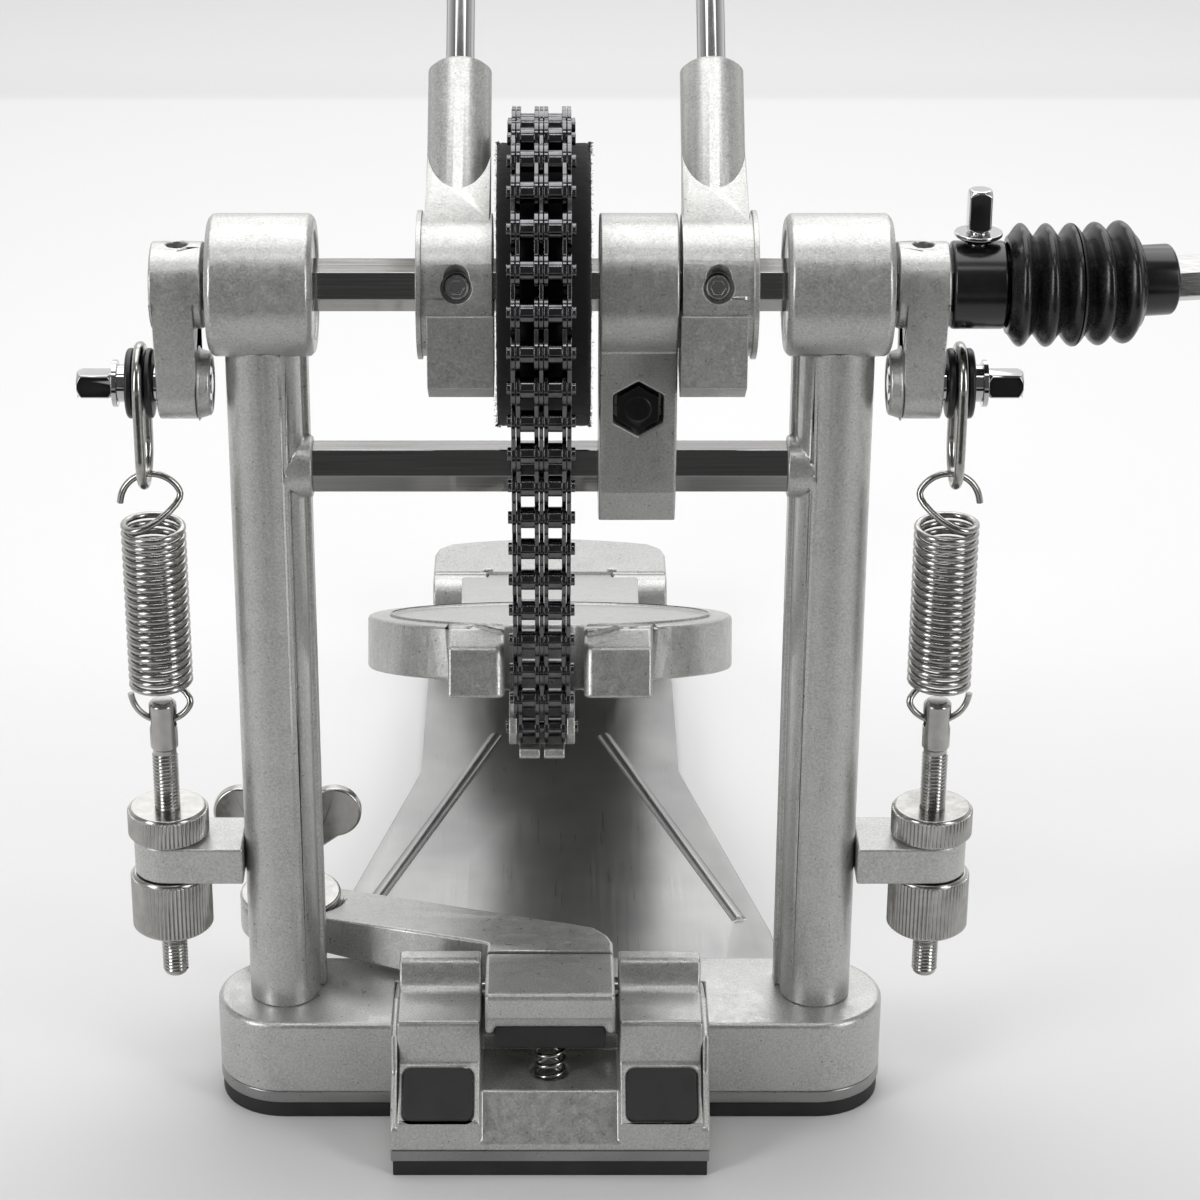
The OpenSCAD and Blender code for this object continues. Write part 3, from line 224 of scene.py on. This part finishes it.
def machined_aluminium():
    """Turned aluminium: bright, with rings left by the tool."""
    material = new_material("machined_aluminium")
    rings = grain(material, 0.5, 2, stretch=(1, 6, 6))
    return finish(
        material,
        Base_Color=ramp(material, rings, [(0.3, "#9c9c9b"), (0.7, "#b9b9b8")]),
        Metallic=1.0,
        Roughness=0.26,
        Normal=bumps(material, rings, 0.01),
    )


def rolled_plate():
    """Nickelled sheet steel: a smooth satin with faint rolling lines along its length."""
    material = new_material("rolled_plate")
    lines = grain(material, 0.6, 3, stretch=(1, 60, 1))
    smudge = grain(material, 26, 2)
    return finish(
        material,
        Base_Color=ramp(material, smudge, [(0.3, "#8f8f8f"), (0.7, "#a0a09f")]),
        Metallic=1.0,
        Roughness=ramp(material, lines, [(0.3, 0.27), (0.7, 0.36)]),
        Normal=bumps(material, lines, 0.003),
    )


def drawn_steel():
    """Cold-drawn bar with a nickel finish: mirror-like, lightly streaked along the bar."""
    material = new_material("drawn_steel")
    streaks = grain(material, 0.35, 3, stretch=(80, 1, 1))
    return finish(
        material,
        Base_Color=ramp(material, streaks, [(0.25, "#8d8c8b"), (0.75, "#aaa9a8")]),
        Metallic=1.0,
        Roughness=ramp(material, streaks, [(0.3, 0.09), (0.7, 0.16)]),
        Normal=bumps(material, streaks, 0.006),
    )


def chromed_steel():
    """Chrome plate on polished steel: almost a mirror."""
    material = new_material("chromed_steel")
    haze = grain(material, 7, 2)
    return finish(
        material,
        Base_Color=paint("#c4c4c4"),
        Metallic=1.0,
        Roughness=ramp(material, haze, [(0.3, 0.06), (0.7, 0.12)]),
    )


def nickel_plate():
    """Bright nickel on turned steel, for the knurled nuts and the wing bolt."""
    material = new_material("nickel_plate")
    haze = grain(material, 3, 3)
    return finish(
        material,
        Base_Color=ramp(material, haze, [(0.3, "#a3a29f"), (0.7, "#b8b7b4")]),
        Metallic=1.0,
        Roughness=ramp(material, haze, [(0.3, 0.16), (0.7, 0.26)]),
    )


def spring_wire():
    """Music wire with a zinc finish: bright with a faint yellow."""
    material = new_material("spring_wire")
    drawn = grain(material, 1.2, 3)
    return finish(
        material,
        Base_Color=ramp(material, drawn, [(0.3, "#9b9a97"), (0.7, "#b5b4b1")]),
        Metallic=1.0,
        Roughness=0.2,
    )


def oiled_chain():
    """Blued and oiled chain steel: near black with sharp highlights."""
    material = new_material("oiled_chain")
    oil = grain(material, 2.5, 3)
    return finish(
        material,
        Base_Color=ramp(material, oil, [(0.3, "#555557"), (0.7, "#6c6c6e")]),
        Metallic=1.0,
        Roughness=ramp(material, oil, [(0.3, 0.1), (0.7, 0.18)]),
        Coat_Weight=0.4,
        Coat_Roughness=0.08,
    )


def black_oxide():
    """Black oxide on turned steel under a thin lacquer."""
    material = new_material("black_oxide")
    wear = grain(material, 5, 4)
    return finish(
        material,
        Base_Color=ramp(material, wear, [(0.35, "#0d0d0e"), (0.75, "#19191a")]),
        Metallic=0.0,
        Roughness=0.22,
        Specular_IOR_Level=0.6,
    )


def boot_rubber():
    """Moulded rubber with a soft gloss."""
    material = new_material("boot_rubber")
    skin = grain(material, 0.9, 3)
    return finish(
        material,
        Base_Color=ramp(material, skin, [(0.3, "#0b0b0b"), (0.7, "#151515")]),
        Roughness=ramp(material, skin, [(0.3, 0.2), (0.7, 0.3)]),
        Normal=bumps(material, skin, 0.01),
    )


def pad_rubber():
    """Matt sheet rubber, cut to shape and a little dusty."""
    material = new_material("pad_rubber")
    crumbs = grain(material, 0.6, 4, roughness=0.7)
    dust = grain(material, 6, 3)
    return finish(
        material,
        Base_Color=ramp(material, dust, [(0.35, "#111111"), (0.8, "#242424")]),
        Roughness=ramp(material, dust, [(0.3, 0.45), (0.7, 0.7)]),
        Normal=bumps(material, crumbs, 0.03, 0.7),
    )


def felt(name, dark, pale, depth):
    """Pressed wool felt: matted fibres a few tenths of a millimetre thick, with sheen."""
    material = new_material(name)
    fibres = grain(material, 0.45, 5, roughness=0.75)
    mats = grain(material, 3.5, 3)
    height = bumps(material, mats, depth * 2.5, 0.6)
    return finish(
        material,
        Base_Color=ramp(material, fibres, [(0.3, dark), (0.7, pale)]),
        Roughness=0.95,
        Sheen_Weight=0.12,
        Sheen_Roughness=0.5,
        Normal=bumps(material, fibres, depth, 1.0, height),
    )


def black_nylon():
    """Moulded nylon: black with a low gloss."""
    material = new_material("black_nylon")
    skin = grain(material, 1.5, 3)
    return finish(
        material,
        Base_Color=paint("#121212"),
        Roughness=ramp(material, skin, [(0.3, 0.3), (0.7, 0.42)]),
    )


MATERIALS = {
    "cast": cast_aluminium(),
    "machined": machined_aluminium(),
    "plate": rolled_plate(),
    "drawn": drawn_steel(),
    "chrome": chromed_steel(),
    "nickel": nickel_plate(),
    "wire": spring_wire(),
    "chain": oiled_chain(),
    "oxide": black_oxide(),
    "boot": boot_rubber(),
    "rubber": pad_rubber(),
    "black_felt": felt("black_felt", "#030303", "#0c0c0c", 0.12),
    "white_felt": felt("white_felt", "#cfcbc2", "#ece9e2", 0.1),
    "nylon": black_nylon(),
}


# Pieces. A piece is built in place, rides on its body when it is given one, and takes its slot.


def place_piece(name, mesh, finish_name, body, replaced=()):
    piece = bpy.data.objects.new(name, mesh)
    bpy.context.scene.collection.objects.link(piece)
    mesh.materials.clear()
    mesh.materials.append(MATERIALS[finish_name])
    if body:
        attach(piece, body)
    if replaced:
        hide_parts(*replaced)
    return piece


def body_of_node(node):
    return cad_nodes[node]["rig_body"]


def mesh_from(work, name):
    """The finished bmesh as a mesh of that name."""
    mesh = bpy.data.meshes.new(name)
    work.to_mesh(mesh)
    work.free()
    return mesh


def smooth(mesh, angle=32):
    """Smooth shading, with edges sharper than angle degrees left sharp."""
    mesh.polygons.foreach_set("use_smooth", [True] * len(mesh.polygons))
    mesh.set_sharp_from_angle(angle=math.radians(angle))


# Points nearer than this in millimetres are one. Faces that turn by less than the flat
# angle are one face, and those that turn by more than the edge angle meet at an edge.
MERGE_WITHIN = 0.002
FLAT_ANGLE = 0.3
EDGE_ANGLE = 28


def soften(node, finish_name, edge, segments):
    """Puts a copy with edges rounded by edge millimetres in a CAD node's place."""
    work = bmesh.new()
    work.from_mesh(cad_nodes[node].data)
    bmesh.ops.remove_doubles(work, verts=work.verts, dist=MERGE_WITHIN * MM)
    bmesh.ops.dissolve_limit(
        work, angle_limit=math.radians(FLAT_ANGLE), verts=work.verts, edges=work.edges
    )
    mesh = mesh_from(work, node + "_soft")
    smooth(mesh, EDGE_ANGLE)
    piece = place_piece(
        node + "_soft", mesh, finish_name, body_of_node(node), [node]
    )
    rounding = piece.modifiers.new("rounding", "BEVEL")
    rounding.width = edge * MM
    rounding.segments = segments
    rounding.limit_method = "ANGLE"
    rounding.angle_limit = math.radians(EDGE_ANGLE)
    rounding.use_clamp_overlap = False
    rounding.harden_normals = True


def plain(node, finish_name):
    """A CAD node as it is, with its finish."""
    mesh = cad_nodes[node].data
    mesh.materials.clear()
    mesh.materials.append(MATERIALS[finish_name])


# Edge roundings in millimetres: sand castings, and then each other node with its finish.
CAST_NODES = {
    "base_casting": 0.5, "tower_left": 0.5, "tower_right": 0.5, "centre_block": 0.6,
    "spring_brackets": 0.6, "heel_block": 0.8, "clamp_block": 0.7, "clamp_lever": 0.9,
    "footboard": 0.9, "chain_clip": 0.35, "beater_hub_left": 0.15, "beater_hub_right": 0.15,
    "rocker_left": 0.6, "rocker_right": 0.6,
}
STEEL_NODES = {
    "crossbar": ("drawn", 0.25), "cam_axle": ("drawn", 0.2), "drive_axle": ("drawn", 0.2),
    "heel_pin": ("drawn", 0.2), "clamp_pin": ("drawn", 0.2), "axle_bearings": ("machined", 0.3),
    "joint_cross": ("drawn", 0.2), "drive_bar": ("drawn", 0.3), "cam": ("machined", 0.4),
    "floor_plate": ("plate", 0.4), "tension_rod_left": ("nickel", 0.2),
    "tension_rod_right": ("nickel", 0.2), "wing_bolt": ("nickel", 0.8),
    "beater_rod_left": ("chrome", 0.2), "beater_rod_right": ("chrome", 0.2),
    "hub_screw_left": ("chrome", 0.12), "hub_screw_right": ("chrome", 0.12),
    "coupler_bolt": ("chrome", 0.25), "hanger_bolt_left": ("chrome", 0.12),
    "hanger_bolt_right": ("chrome", 0.12), "centre_bolt": ("oxide", 0.25),
    "input_coupler": ("oxide", 0.3), "output_coupler": ("oxide", 0.3),
    "hanger_wheel_left": ("nylon", 0.2), "hanger_wheel_right": ("nylon", 0.2),
    "rubber_pads": ("rubber", 0.3), "lever_pad": ("rubber", 0.4),
    "lock_nuts": ("nickel", 0.12), "adjuster_left": ("nickel", 0.12),
    "adjuster_right": ("nickel", 0.12), "wrapped_chain": ("chain", 0.15),
    "chain_run": ("chain", 0.15), "chain_link_1": ("chain", 0.15),
    "chain_link_2": ("chain", 0.15), "chain_link_3": ("chain", 0.15),
    "chain_link_4": ("chain", 0.15), "hanger_ring_left": ("wire", 0.0),
    "hanger_ring_right": ("wire", 0.0),
}


def dress_rigid_nodes():
    for node, edge in CAST_NODES.items():
        soften(node, "cast", edge, 3)
    for node, (finish_name, edge) in STEEL_NODES.items():
        if edge:
            soften(node, finish_name, edge, 2)
        else:
            plain(node, finish_name)


# Wire pieces


WIRE_SMOOTHNESS = 4


def wire_mesh(name, points, diameter):
    """A round wire along points given in millimetres, with closed ends."""
    curve = bpy.data.curves.new(name, "CURVE")
    curve.dimensions = "3D"
    curve.bevel_depth = diameter / 2 * MM
    curve.bevel_resolution = WIRE_SMOOTHNESS
    curve.use_fill_caps = True
    spline = curve.splines.new("POLY")
    spline.points.add(len(points) - 1)
    for point, place in zip(spline.points, points):
        point.co = (*[c * MM for c in place], 1)
    holder = bpy.data.objects.new(name, curve)
    mesh = bpy.data.meshes.new_from_object(holder)
    mesh.name = name
    bpy.data.objects.remove(holder)
    smooth(mesh, 50)
    return mesh


# Tension springs. The coils run from foot to head, with so many steps to a turn.
SPRING_WIRE = 1.7
SPRING_COILS = 21
SPRING_FOOT = 116.0
SPRING_HEAD = 161.2
SPRING_STEPS = 28
HOOK_EASING = 6


def spring_points(node):
    """Lower hook, coils and upper hook of a tension spring, on the frame's own spring."""
    low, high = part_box(node)
    middle = (low.x + high.x) / 2 / MM
    hand = 1 if middle < 0 else -1
    radius = (high.x - low.x) / 2 / MM - SPRING_WIRE / 2
    bottom = low.z / MM + SPRING_WIRE / 2
    top = high.z / MM - SPRING_WIRE / 2
    points = []
    for i in range(SPRING_STEPS + 1):
        a = math.pi * (1 - i / SPRING_STEPS)
        points.append((radius * math.cos(a), 0, bottom + radius - radius * math.sin(a)))
    turns = SPRING_COILS * SPRING_STEPS
    lead = SPRING_STEPS // 4
    for i in range(lead, turns - lead + 1):
        a = 2 * math.pi * i / SPRING_STEPS
        rise = i / turns
        points.append(
            (radius * math.cos(a), radius * math.sin(a),
             SPRING_FOOT + rise * (SPRING_HEAD - SPRING_FOOT))
        )
    for i in range(SPRING_STEPS + 1):
        a = math.pi * i / SPRING_STEPS
        points.append((radius * math.cos(a), 0, top - radius + radius * math.sin(a)))
    return [(middle + hand * x, y, z) for x, y, z in eased(points)]


def eased(points):
    """Rounds the corners where the hooks leave the coils, over a few points."""
    smoothed = [Vector(p) for p in points]
    for _ in range(HOOK_EASING):
        smoothed = (
            smoothed[:1]
            + [
                a * 0.25 + b * 0.5 + c * 0.25
                for a, b, c in zip(smoothed, smoothed[1:], smoothed[2:])
            ]
            + smoothed[-1:]
        )
    return [tuple(p) for p in smoothed]


def dress_springs():
    for side, sign in SIDES.items():
        node = "spring_" + side
        points = spring_points(node)
        mesh = wire_mesh("tension_" + node, points, SPRING_WIRE)
        piece = place_piece("tension_" + node, mesh, "wire", None, [node])
        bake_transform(piece)


# The jaw spring, which the clamp lever presses; here it is an even coil over the frame's own
# spring.
CLAMP_WIRE = 1.2
CLAMP_COILS = 4
CLAMP_STEPS = 24


def dress_clamp_spring():
    low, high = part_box("clamp_spring")
    radius = (high.x - low.x) / 2 / MM - CLAMP_WIRE / 2
    middle = [(low.x + high.x) / 2 / MM, (low.y + high.y) / 2 / MM]
    steps = CLAMP_COILS * CLAMP_STEPS
    foot = low.z / MM + CLAMP_WIRE / 2
    head = high.z / MM - CLAMP_WIRE / 2
    points = [
        (
            middle[0] + radius * math.cos(math.tau * i / CLAMP_STEPS),
            middle[1] + radius * math.sin(math.tau * i / CLAMP_STEPS),
            foot + (head - foot) * i / steps,
        )
        for i in range(steps + 1)
    ]
    mesh = wire_mesh("jaw_spring", points, CLAMP_WIRE)
    piece = place_piece("jaw_spring", mesh, "wire", "frame", ["clamp_spring"])
    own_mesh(piece)


# Screw threads, as a ridge that winds round a plain rod


THREAD_STEPS = 20
THREAD_SINK = 0.02
THREAD_FLANK = 0.42


def thread_mesh(name, middle, radius, depth, pitch, foot, head):
    """A V ridge round a vertical rod, from foot to head, all in millimetres."""
    work = bmesh.new()
    root = radius - THREAD_SINK
    flank = pitch * THREAD_FLANK
    ridge = [(root, -flank), (radius + depth, 0), (root, flank)]
    corners = [work.verts.new(((middle[0] + r) * MM, middle[1] * MM, (foot + z) * MM))
               for r, z in ridge]
    edges = [work.edges.new((corners[0], corners[1])), work.edges.new((corners[1], corners[2]))]
    turns = (head - foot) / pitch
    steps = round(turns * THREAD_STEPS)
    bmesh.ops.spin(
        work,
        geom=corners + edges,
        cent=(middle[0] * MM, middle[1] * MM, 0),
        axis=(0, 0, 1),
        dvec=(0, 0, (head - foot) / steps * MM),
        angle=math.tau * turns,
        steps=steps,
    )
    bmesh.ops.recalc_face_normals(work, faces=work.faces)
    mesh = mesh_from(work, name)
    smooth(mesh, 60)
    return mesh


# Radius of the rod, then depth, pitch and upper end of its thread.
TENSION_THREAD = {"radius": 3.0, "depth": 0.32, "pitch": 1.0, "head": 97.5}
WING_THREAD = {"radius": 4.0, "depth": 0.35, "pitch": 1.25, "head": 30}
THREAD_START = 1


def dress_threads():
    for side, sign in SIDES.items():
        name = "thread_" + side
        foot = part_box("tension_rod_" + side)[0].z / MM + THREAD_START
        mesh = thread_mesh(name, (sign * SPRING_X, 0), foot=foot, **TENSION_THREAD)
        place_piece(name, mesh, "nickel", "screw_" + side)
    low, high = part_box("wing_bolt")
    middle = ((low.x + high.x) / 2 / MM, (low.y + high.y) / 2 / MM)
    mesh = thread_mesh("thread_wing", middle, foot=low.z / MM + THREAD_START, **WING_THREAD)
    place_piece("thread_wing", mesh, "nickel", "wing")


# Felt


def revolved(name, profile, steps):
    """Spins a closed outline of (along X, radius) about the axle, in millimetres."""
    work = bmesh.new()
    corners = [work.verts.new((x * MM, 0, (AXLE_HEIGHT + r) * MM)) for x, r in profile]
    edges = [work.edges.new((a, b)) for a, b in zip(corners, corners[1:] + corners[:1])]
    bmesh.ops.spin(
        work,
        geom=corners + edges,
        cent=(0, 0, AXLE_HEIGHT * MM),
        axis=(1, 0, 0),
        dvec=(0, 0, 0),
        angle=math.tau,
        steps=steps,
        use_merge=True,
    )
    bmesh.ops.recalc_face_normals(work, faces=work.faces)
    return mesh_from(work, name)


def roughen(mesh, size, amount, rough_at):
    """Moves points along their normals by noise with grains of size millimetres."""
    moved = []
    for vertex in mesh.vertices:
        push = noise.noise(vertex.co / (size * MM)) * amount * MM
        moved.append(vertex.co + vertex.normal * (push if rough_at(vertex.co) else 0))
    for vertex, place in zip(mesh.vertices, moved):
        vertex.co = place


# Loose fibres, in millimetres.
FUZZ_SEED = 7
FIBRES = 2600
FIBRE_LENGTH = 0.7
FIBRE_HALF_WIDTH = 0.03
FIBRE_ROOT = 0.15
FIBRE_INSET = 0.2
FIBRE_SPREAD = 0.25
FIBRE_ASIDE = 0.6


def fuzz_mesh(name, roots, length):
    """Fine loose fibres, each a bent sliver, at roots of (place, outward direction)."""
    work = bmesh.new()
    dice = random.Random(FUZZ_SEED)
    for place, out in roots:
        side = out.cross(Vector([dice.uniform(-1, 1) for _ in range(3)]))
        side.normalize()
        reach = length * MM * dice.uniform(0.4, 1)
        lean = side * reach * dice.uniform(0.2, 0.9)
        wide = out.cross(side) * FIBRE_HALF_WIDTH * MM
        tip = place + out * reach + lean
        knee = place + out * reach * 0.6 + lean * 0.2
        outline = (place - wide, place + wide, knee + wide * 0.7, tip, knee - wide * 0.7)
        work.faces.new([work.verts.new(p) for p in outline])
    return mesh_from(work, name)


FELT_WALL = 2.6
FELT_CORNER = 1.2
FELT_STEPS = 260
FELT_STEPS_ACROSS = 12
FELT_GRAIN = 0.9
FELT_ROUGHNESS = 0.16


def dress_cam_felt():
    """Felt band round the cam, matted on its outside, with loose fibres at its rims."""
    low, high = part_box("cam_felt")
    x0, x1 = low.x / MM, high.x / MM
    outer = (high.z - low.z) / 2 / MM
    inner = outer - FELT_WALL
    corner = [
        (FELT_CORNER * (1 - math.cos(math.radians(a))),
         FELT_CORNER * (1 - math.sin(math.radians(a))))
        for a in (0, 30, 60, 90)
    ]
    left = [(x0 + dx, outer - dr) for dx, dr in corner]
    right = [(x1 - dx, outer - dr) for dx, dr in reversed(corner)]
    across = [
        (x0 + (x1 - x0) * k / FELT_STEPS_ACROSS, outer) for k in range(1, FELT_STEPS_ACROSS)
    ]
    profile = [(x0, inner + 0.02)] + left + across + right + [(x1, inner + 0.02)]
    mesh = revolved("felt_band", profile, FELT_STEPS)
    axle = Vector((0, AXLE_HEIGHT * MM))
    skin = (inner + 0.3) * MM
    roughen(mesh, FELT_GRAIN, FELT_ROUGHNESS, lambda p: (p.yz - axle).length > skin)
    smooth(mesh, 80)
    place_piece("felt_band", mesh, "black_felt", "cam_shaft", ["cam_felt"])
    dice = random.Random(FUZZ_SEED)
    roots = []
    for _ in range(FIBRES):
        a = dice.uniform(0, math.tau)
        rim = dice.choice((x0 + FIBRE_INSET, x1 - FIBRE_INSET))
        edge = rim + dice.gauss(0, FIBRE_SPREAD)
        out = Vector((0, math.cos(a), math.sin(a)))
        r = outer - FIBRE_ROOT
        root = Vector((edge * MM, r * out.y * MM, (AXLE_HEIGHT + r * out.z) * MM))
        aside = Vector((math.copysign(FIBRE_ASIDE, edge - (x0 + x1) / 2), 0, 0))
        roots.append((root, (out + aside).normalized()))
    fuzz = fuzz_mesh("felt_fuzz", roots, FIBRE_LENGTH)
    place_piece("felt_fuzz", fuzz, "black_felt", "cam_shaft")


# Felt heads, with their distance along the rod from the axle.
HEAD_AT = 187.0
HEAD_RADIUS = 24.5
HEAD_LENGTH = 45.5
HEAD_ROUND = 5.7
COLLAR_AT = HEAD_AT - 25
COLLAR_LOWER_RADIUS = 7.5
COLLAR_UPPER_RADIUS = 6.5
COLLAR_LENGTH = 12


def dress_beater_heads():
    """Felt head on each rod: a felt drum with rounded rims, and the collar under it."""
    for side in SIDES:
        node = "beater_head_" + side
        low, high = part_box(node)
        middle = Vector(((low.x + high.x) / 2, 0, AXLE_HEIGHT * MM))
        along = Vector((0, math.sin(BEATER_LEAN), math.cos(BEATER_LEAN)))
        centre = middle + along * HEAD_AT * MM
        turn = Matrix.Rotation(-BEATER_LEAN, 4, "X")
        work = bmesh.new()
        bmesh.ops.create_cone(
            work, cap_ends=True, segments=96, radius1=HEAD_RADIUS * MM,
            radius2=HEAD_RADIUS * MM, depth=HEAD_LENGTH * MM,
        )
        rims = [e for e in work.edges if len(e.link_faces) == 2
                and e.calc_face_angle(0) > math.radians(60)]
        bmesh.ops.bevel(
            work, geom=rims, offset=HEAD_ROUND * MM, segments=6, profile=0.5,
            affect="EDGES", material=-1,
        )
        work.transform(Matrix.Translation(centre) @ turn @ Matrix.Rotation(math.pi / 2, 4, "X"))
        mesh = mesh_from(work, "felt_head_" + side)
        smooth(mesh, 50)
        head = place_piece(
            "felt_head_" + side, mesh, "white_felt", "beater_" + side, [node]
        )
        fine = head.modifiers.new("fine", "SUBSURF")
        fine.levels = 1
        fine.render_levels = 1
        work = bmesh.new()
        bmesh.ops.create_cone(
            work, cap_ends=True, segments=48, radius1=COLLAR_LOWER_RADIUS * MM,
            radius2=COLLAR_UPPER_RADIUS * MM, depth=COLLAR_LENGTH * MM,
        )
        work.transform(Matrix.Translation(middle + along * COLLAR_AT * MM) @ turn)
        collar = mesh_from(work, "head_collar_" + side)
        smooth(collar)
        place_piece("head_collar_" + side, collar, "machined", "beater_" + side)


# Rubber boot over the universal joint. Crest, valley and bore are radii, and the start and
# the end are places along the shaft. A bluntness below 1 broadens the crests.

BOOT_FOLDS = 5
BOOT_CREST = 14.7
BOOT_VALLEY = 11.6
BOOT_BORE = 10.2
BOOT_START = 108.6
BOOT_END = 139.2
BOOT_STEPS = 16
BOOT_STEPS_AROUND = 96
BOOT_BLUNTNESS = 0.7


def boot_half(side):
    """Half of the boot's outline as (along X, radius): the folds, and back inside."""
    length = BOOT_END - BOOT_START
    steps = BOOT_FOLDS * BOOT_STEPS
    outer = []
    for i in range(steps + 1):
        t = i / steps
        wave = 0.5 - 0.5 * math.cos(math.tau * BOOT_FOLDS * t)
        radius = BOOT_VALLEY + (BOOT_CREST - BOOT_VALLEY) * wave ** BOOT_BLUNTNESS
        outer.append((BOOT_START + length * t, radius))
    if side == "in":
        outer = [p for p in outer if p[0] <= JOINT_X + 0.01]
    else:
        outer = [p for p in outer if p[0] >= JOINT_X - 0.01]
    inner = [(outer[-1][0], BOOT_BORE), ((outer[0][0] + outer[-1][0]) / 2, BOOT_BORE),
             (outer[0][0], BOOT_BORE)]
    return outer + inner


def bend_with_bar(mesh):
    """Bends the boot's points towards the drive bar, about the joint's upright pin."""
    pivot = Vector((JOINT_X * MM, 0, AXLE_HEIGHT * MM))
    for vertex in mesh.vertices:
        t = (vertex.co.x / MM - BOOT_START) / (BOOT_END - BOOT_START)
        t = min(max(t, 0), 1)
        angle = BAR_BEND * t * t * (3 - 2 * t)
        spot = vertex.co - pivot
        spot.rotate(Matrix.Rotation(angle, 3, "Z"))
        vertex.co = pivot + spot


def dress_boot():
    for side, bodies in (("in", ("drive_shaft", "cross")), ("out", ("cross", "bar"))):
        mesh = revolved("boot_" + side, boot_half(side), BOOT_STEPS_AROUND)
        bend_with_bar(mesh)
        smooth(mesh, 70)
        replaced = ["boot"] if side == "in" else []
        piece = place_piece("boot_" + side, mesh, "boot", None, replaced)
        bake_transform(piece)


# Floor, light and world


def along_y(material, place):
    """0 to 1 as the Y of a place or direction goes from -1 to 1."""
    y = add(material, "ShaderNodeSeparateXYZ", {"Vector": place}).outputs["Y"]
    return add(
        material, "ShaderNodeMapRange", {"Value": y, "From Min": -1.0, "From Max": 1.0}
    ).outputs["Result"]


def white_floor():
    """Matt white floor with painted shade: darker towards the camera, and a shade darker again
    from about 0.94 m behind the pedal, painted where a sweep would turn up.
    """
    material = new_material("white_floor")
    place = add(material, "ShaderNodeTexCoord").outputs["Object"]
    # Painted shade: the colour darkens from the back towards the camera, and from about 0.94 m
    # behind the pedal it is painted a shade darker again.
    shade = ramp(
        material,
        along_y(material, place),
        [(0.37, "#bcbcbc"), (0.475, "#cccccc"), (0.53, "#d8d8d8"), (0.64, "#e0e0e0"),
         (0.965, "#e6e6e6"), (0.97, "#dcdcdc"), (1.0, "#e0e0e0")],
    )
    return finish(material, Base_Color=shade, Roughness=0.65, Specular_IOR_Level=0.15)


def black_card():
    """Matt black paper that lies before the pedal and darkens its front faces."""
    material = new_material("black_paper")
    fibre = grain(material, 1.5, 3)
    return finish(
        material,
        Base_Color=ramp(material, fibre, [(0.3, "#0a0a0a"), (0.7, "#131313")]),
        Roughness=0.9,
        Specular_IOR_Level=0.1,
    )


# Grey of the room, from the camera's side to behind the pedal.
ROOM_FRONT = 0.1
ROOM_SIDE = 0.3
ROOM_BACK = 1.0


def make_world():
    """A room that is white behind the pedal and dim on the camera's side."""
    world = bpy.data.worlds.new("studio")
    bpy.context.scene.world = world
    world.use_nodes = True
    world.node_tree.nodes.clear()
    ray = add(world, "ShaderNodeTexCoord").outputs["Generated"]
    stops = [(0.25, ROOM_FRONT), (0.5, ROOM_SIDE), (0.85, ROOM_BACK)]
    room = ramp(world, along_y(world, ray), stops)
    light = add(world, "ShaderNodeBackground", {"Color": room}).outputs["Background"]
    add(world, "ShaderNodeOutputWorld", {"Surface": light})


# Soft boxes: name, place, where each looks, size and watts.
LAMPS = (
    ("top", (0, 0.35, 1.2), (0, 0.35, 0), (1.3, 1.0), 9.5),
    ("left_strip", (-1.0, -0.75, 0.6), (0, 0, 0.15), (0.4, 1.0), 8),
    ("right_strip", (1.0, -0.75, 0.6), (0, 0, 0.15), (0.4, 1.0), 6.5),
    ("back", (0.2, 1.2, 1.0), (0, 0.3, 0), (1.6, 0.5), 4),
    ("bar", (-0.05, -0.45, 1.15), (0, 0, 0.2), (0.6, 0.12), 1.1),
)


def sheet_on_floor(name, material, middle, half, lift):
    """A flat sheet of the studio, from its middle and half sizes in metres."""
    work = bmesh.new()
    bmesh.ops.create_grid(work, x_segments=1, y_segments=1, size=1)
    bmesh.ops.scale(work, vec=(half[0], half[1], 1), verts=work.verts)
    bmesh.ops.translate(work, vec=(middle[0], middle[1], lift), verts=work.verts)
    mesh = mesh_from(work, name)
    mesh.materials.append(material)
    sheet = bpy.data.objects.new(name, mesh)
    bpy.context.scene.collection.objects.link(sheet)


def make_studio():
    """Floor, card, room and soft lamps."""
    sheet_on_floor("floor", white_floor(), (0, 0), (4, 4), 0)
    sheet_on_floor("card", black_card(), (0, -0.62), (0.5, 0.25), 0.0005)
    make_world()
    for name, place, aim, size, power in LAMPS:
        lamp = bpy.data.lights.new(name, "AREA")
        lamp.shape = "RECTANGLE"
        lamp.size, lamp.size_y = size
        lamp.energy = power
        holder = bpy.data.objects.new(name, lamp)
        bpy.context.scene.collection.objects.link(holder)
        holder.location = place
        look = Vector(aim) - Vector(place)
        holder.rotation_euler = look.to_track_quat("-Z", "Y").to_euler()


make_camera()
dress_rigid_nodes()
dress_springs()
dress_clamp_spring()
dress_threads()
dress_cam_felt()
dress_beater_heads()
dress_boot()
make_studio()

bpy.context.scene.view_settings.view_transform = "Standard"
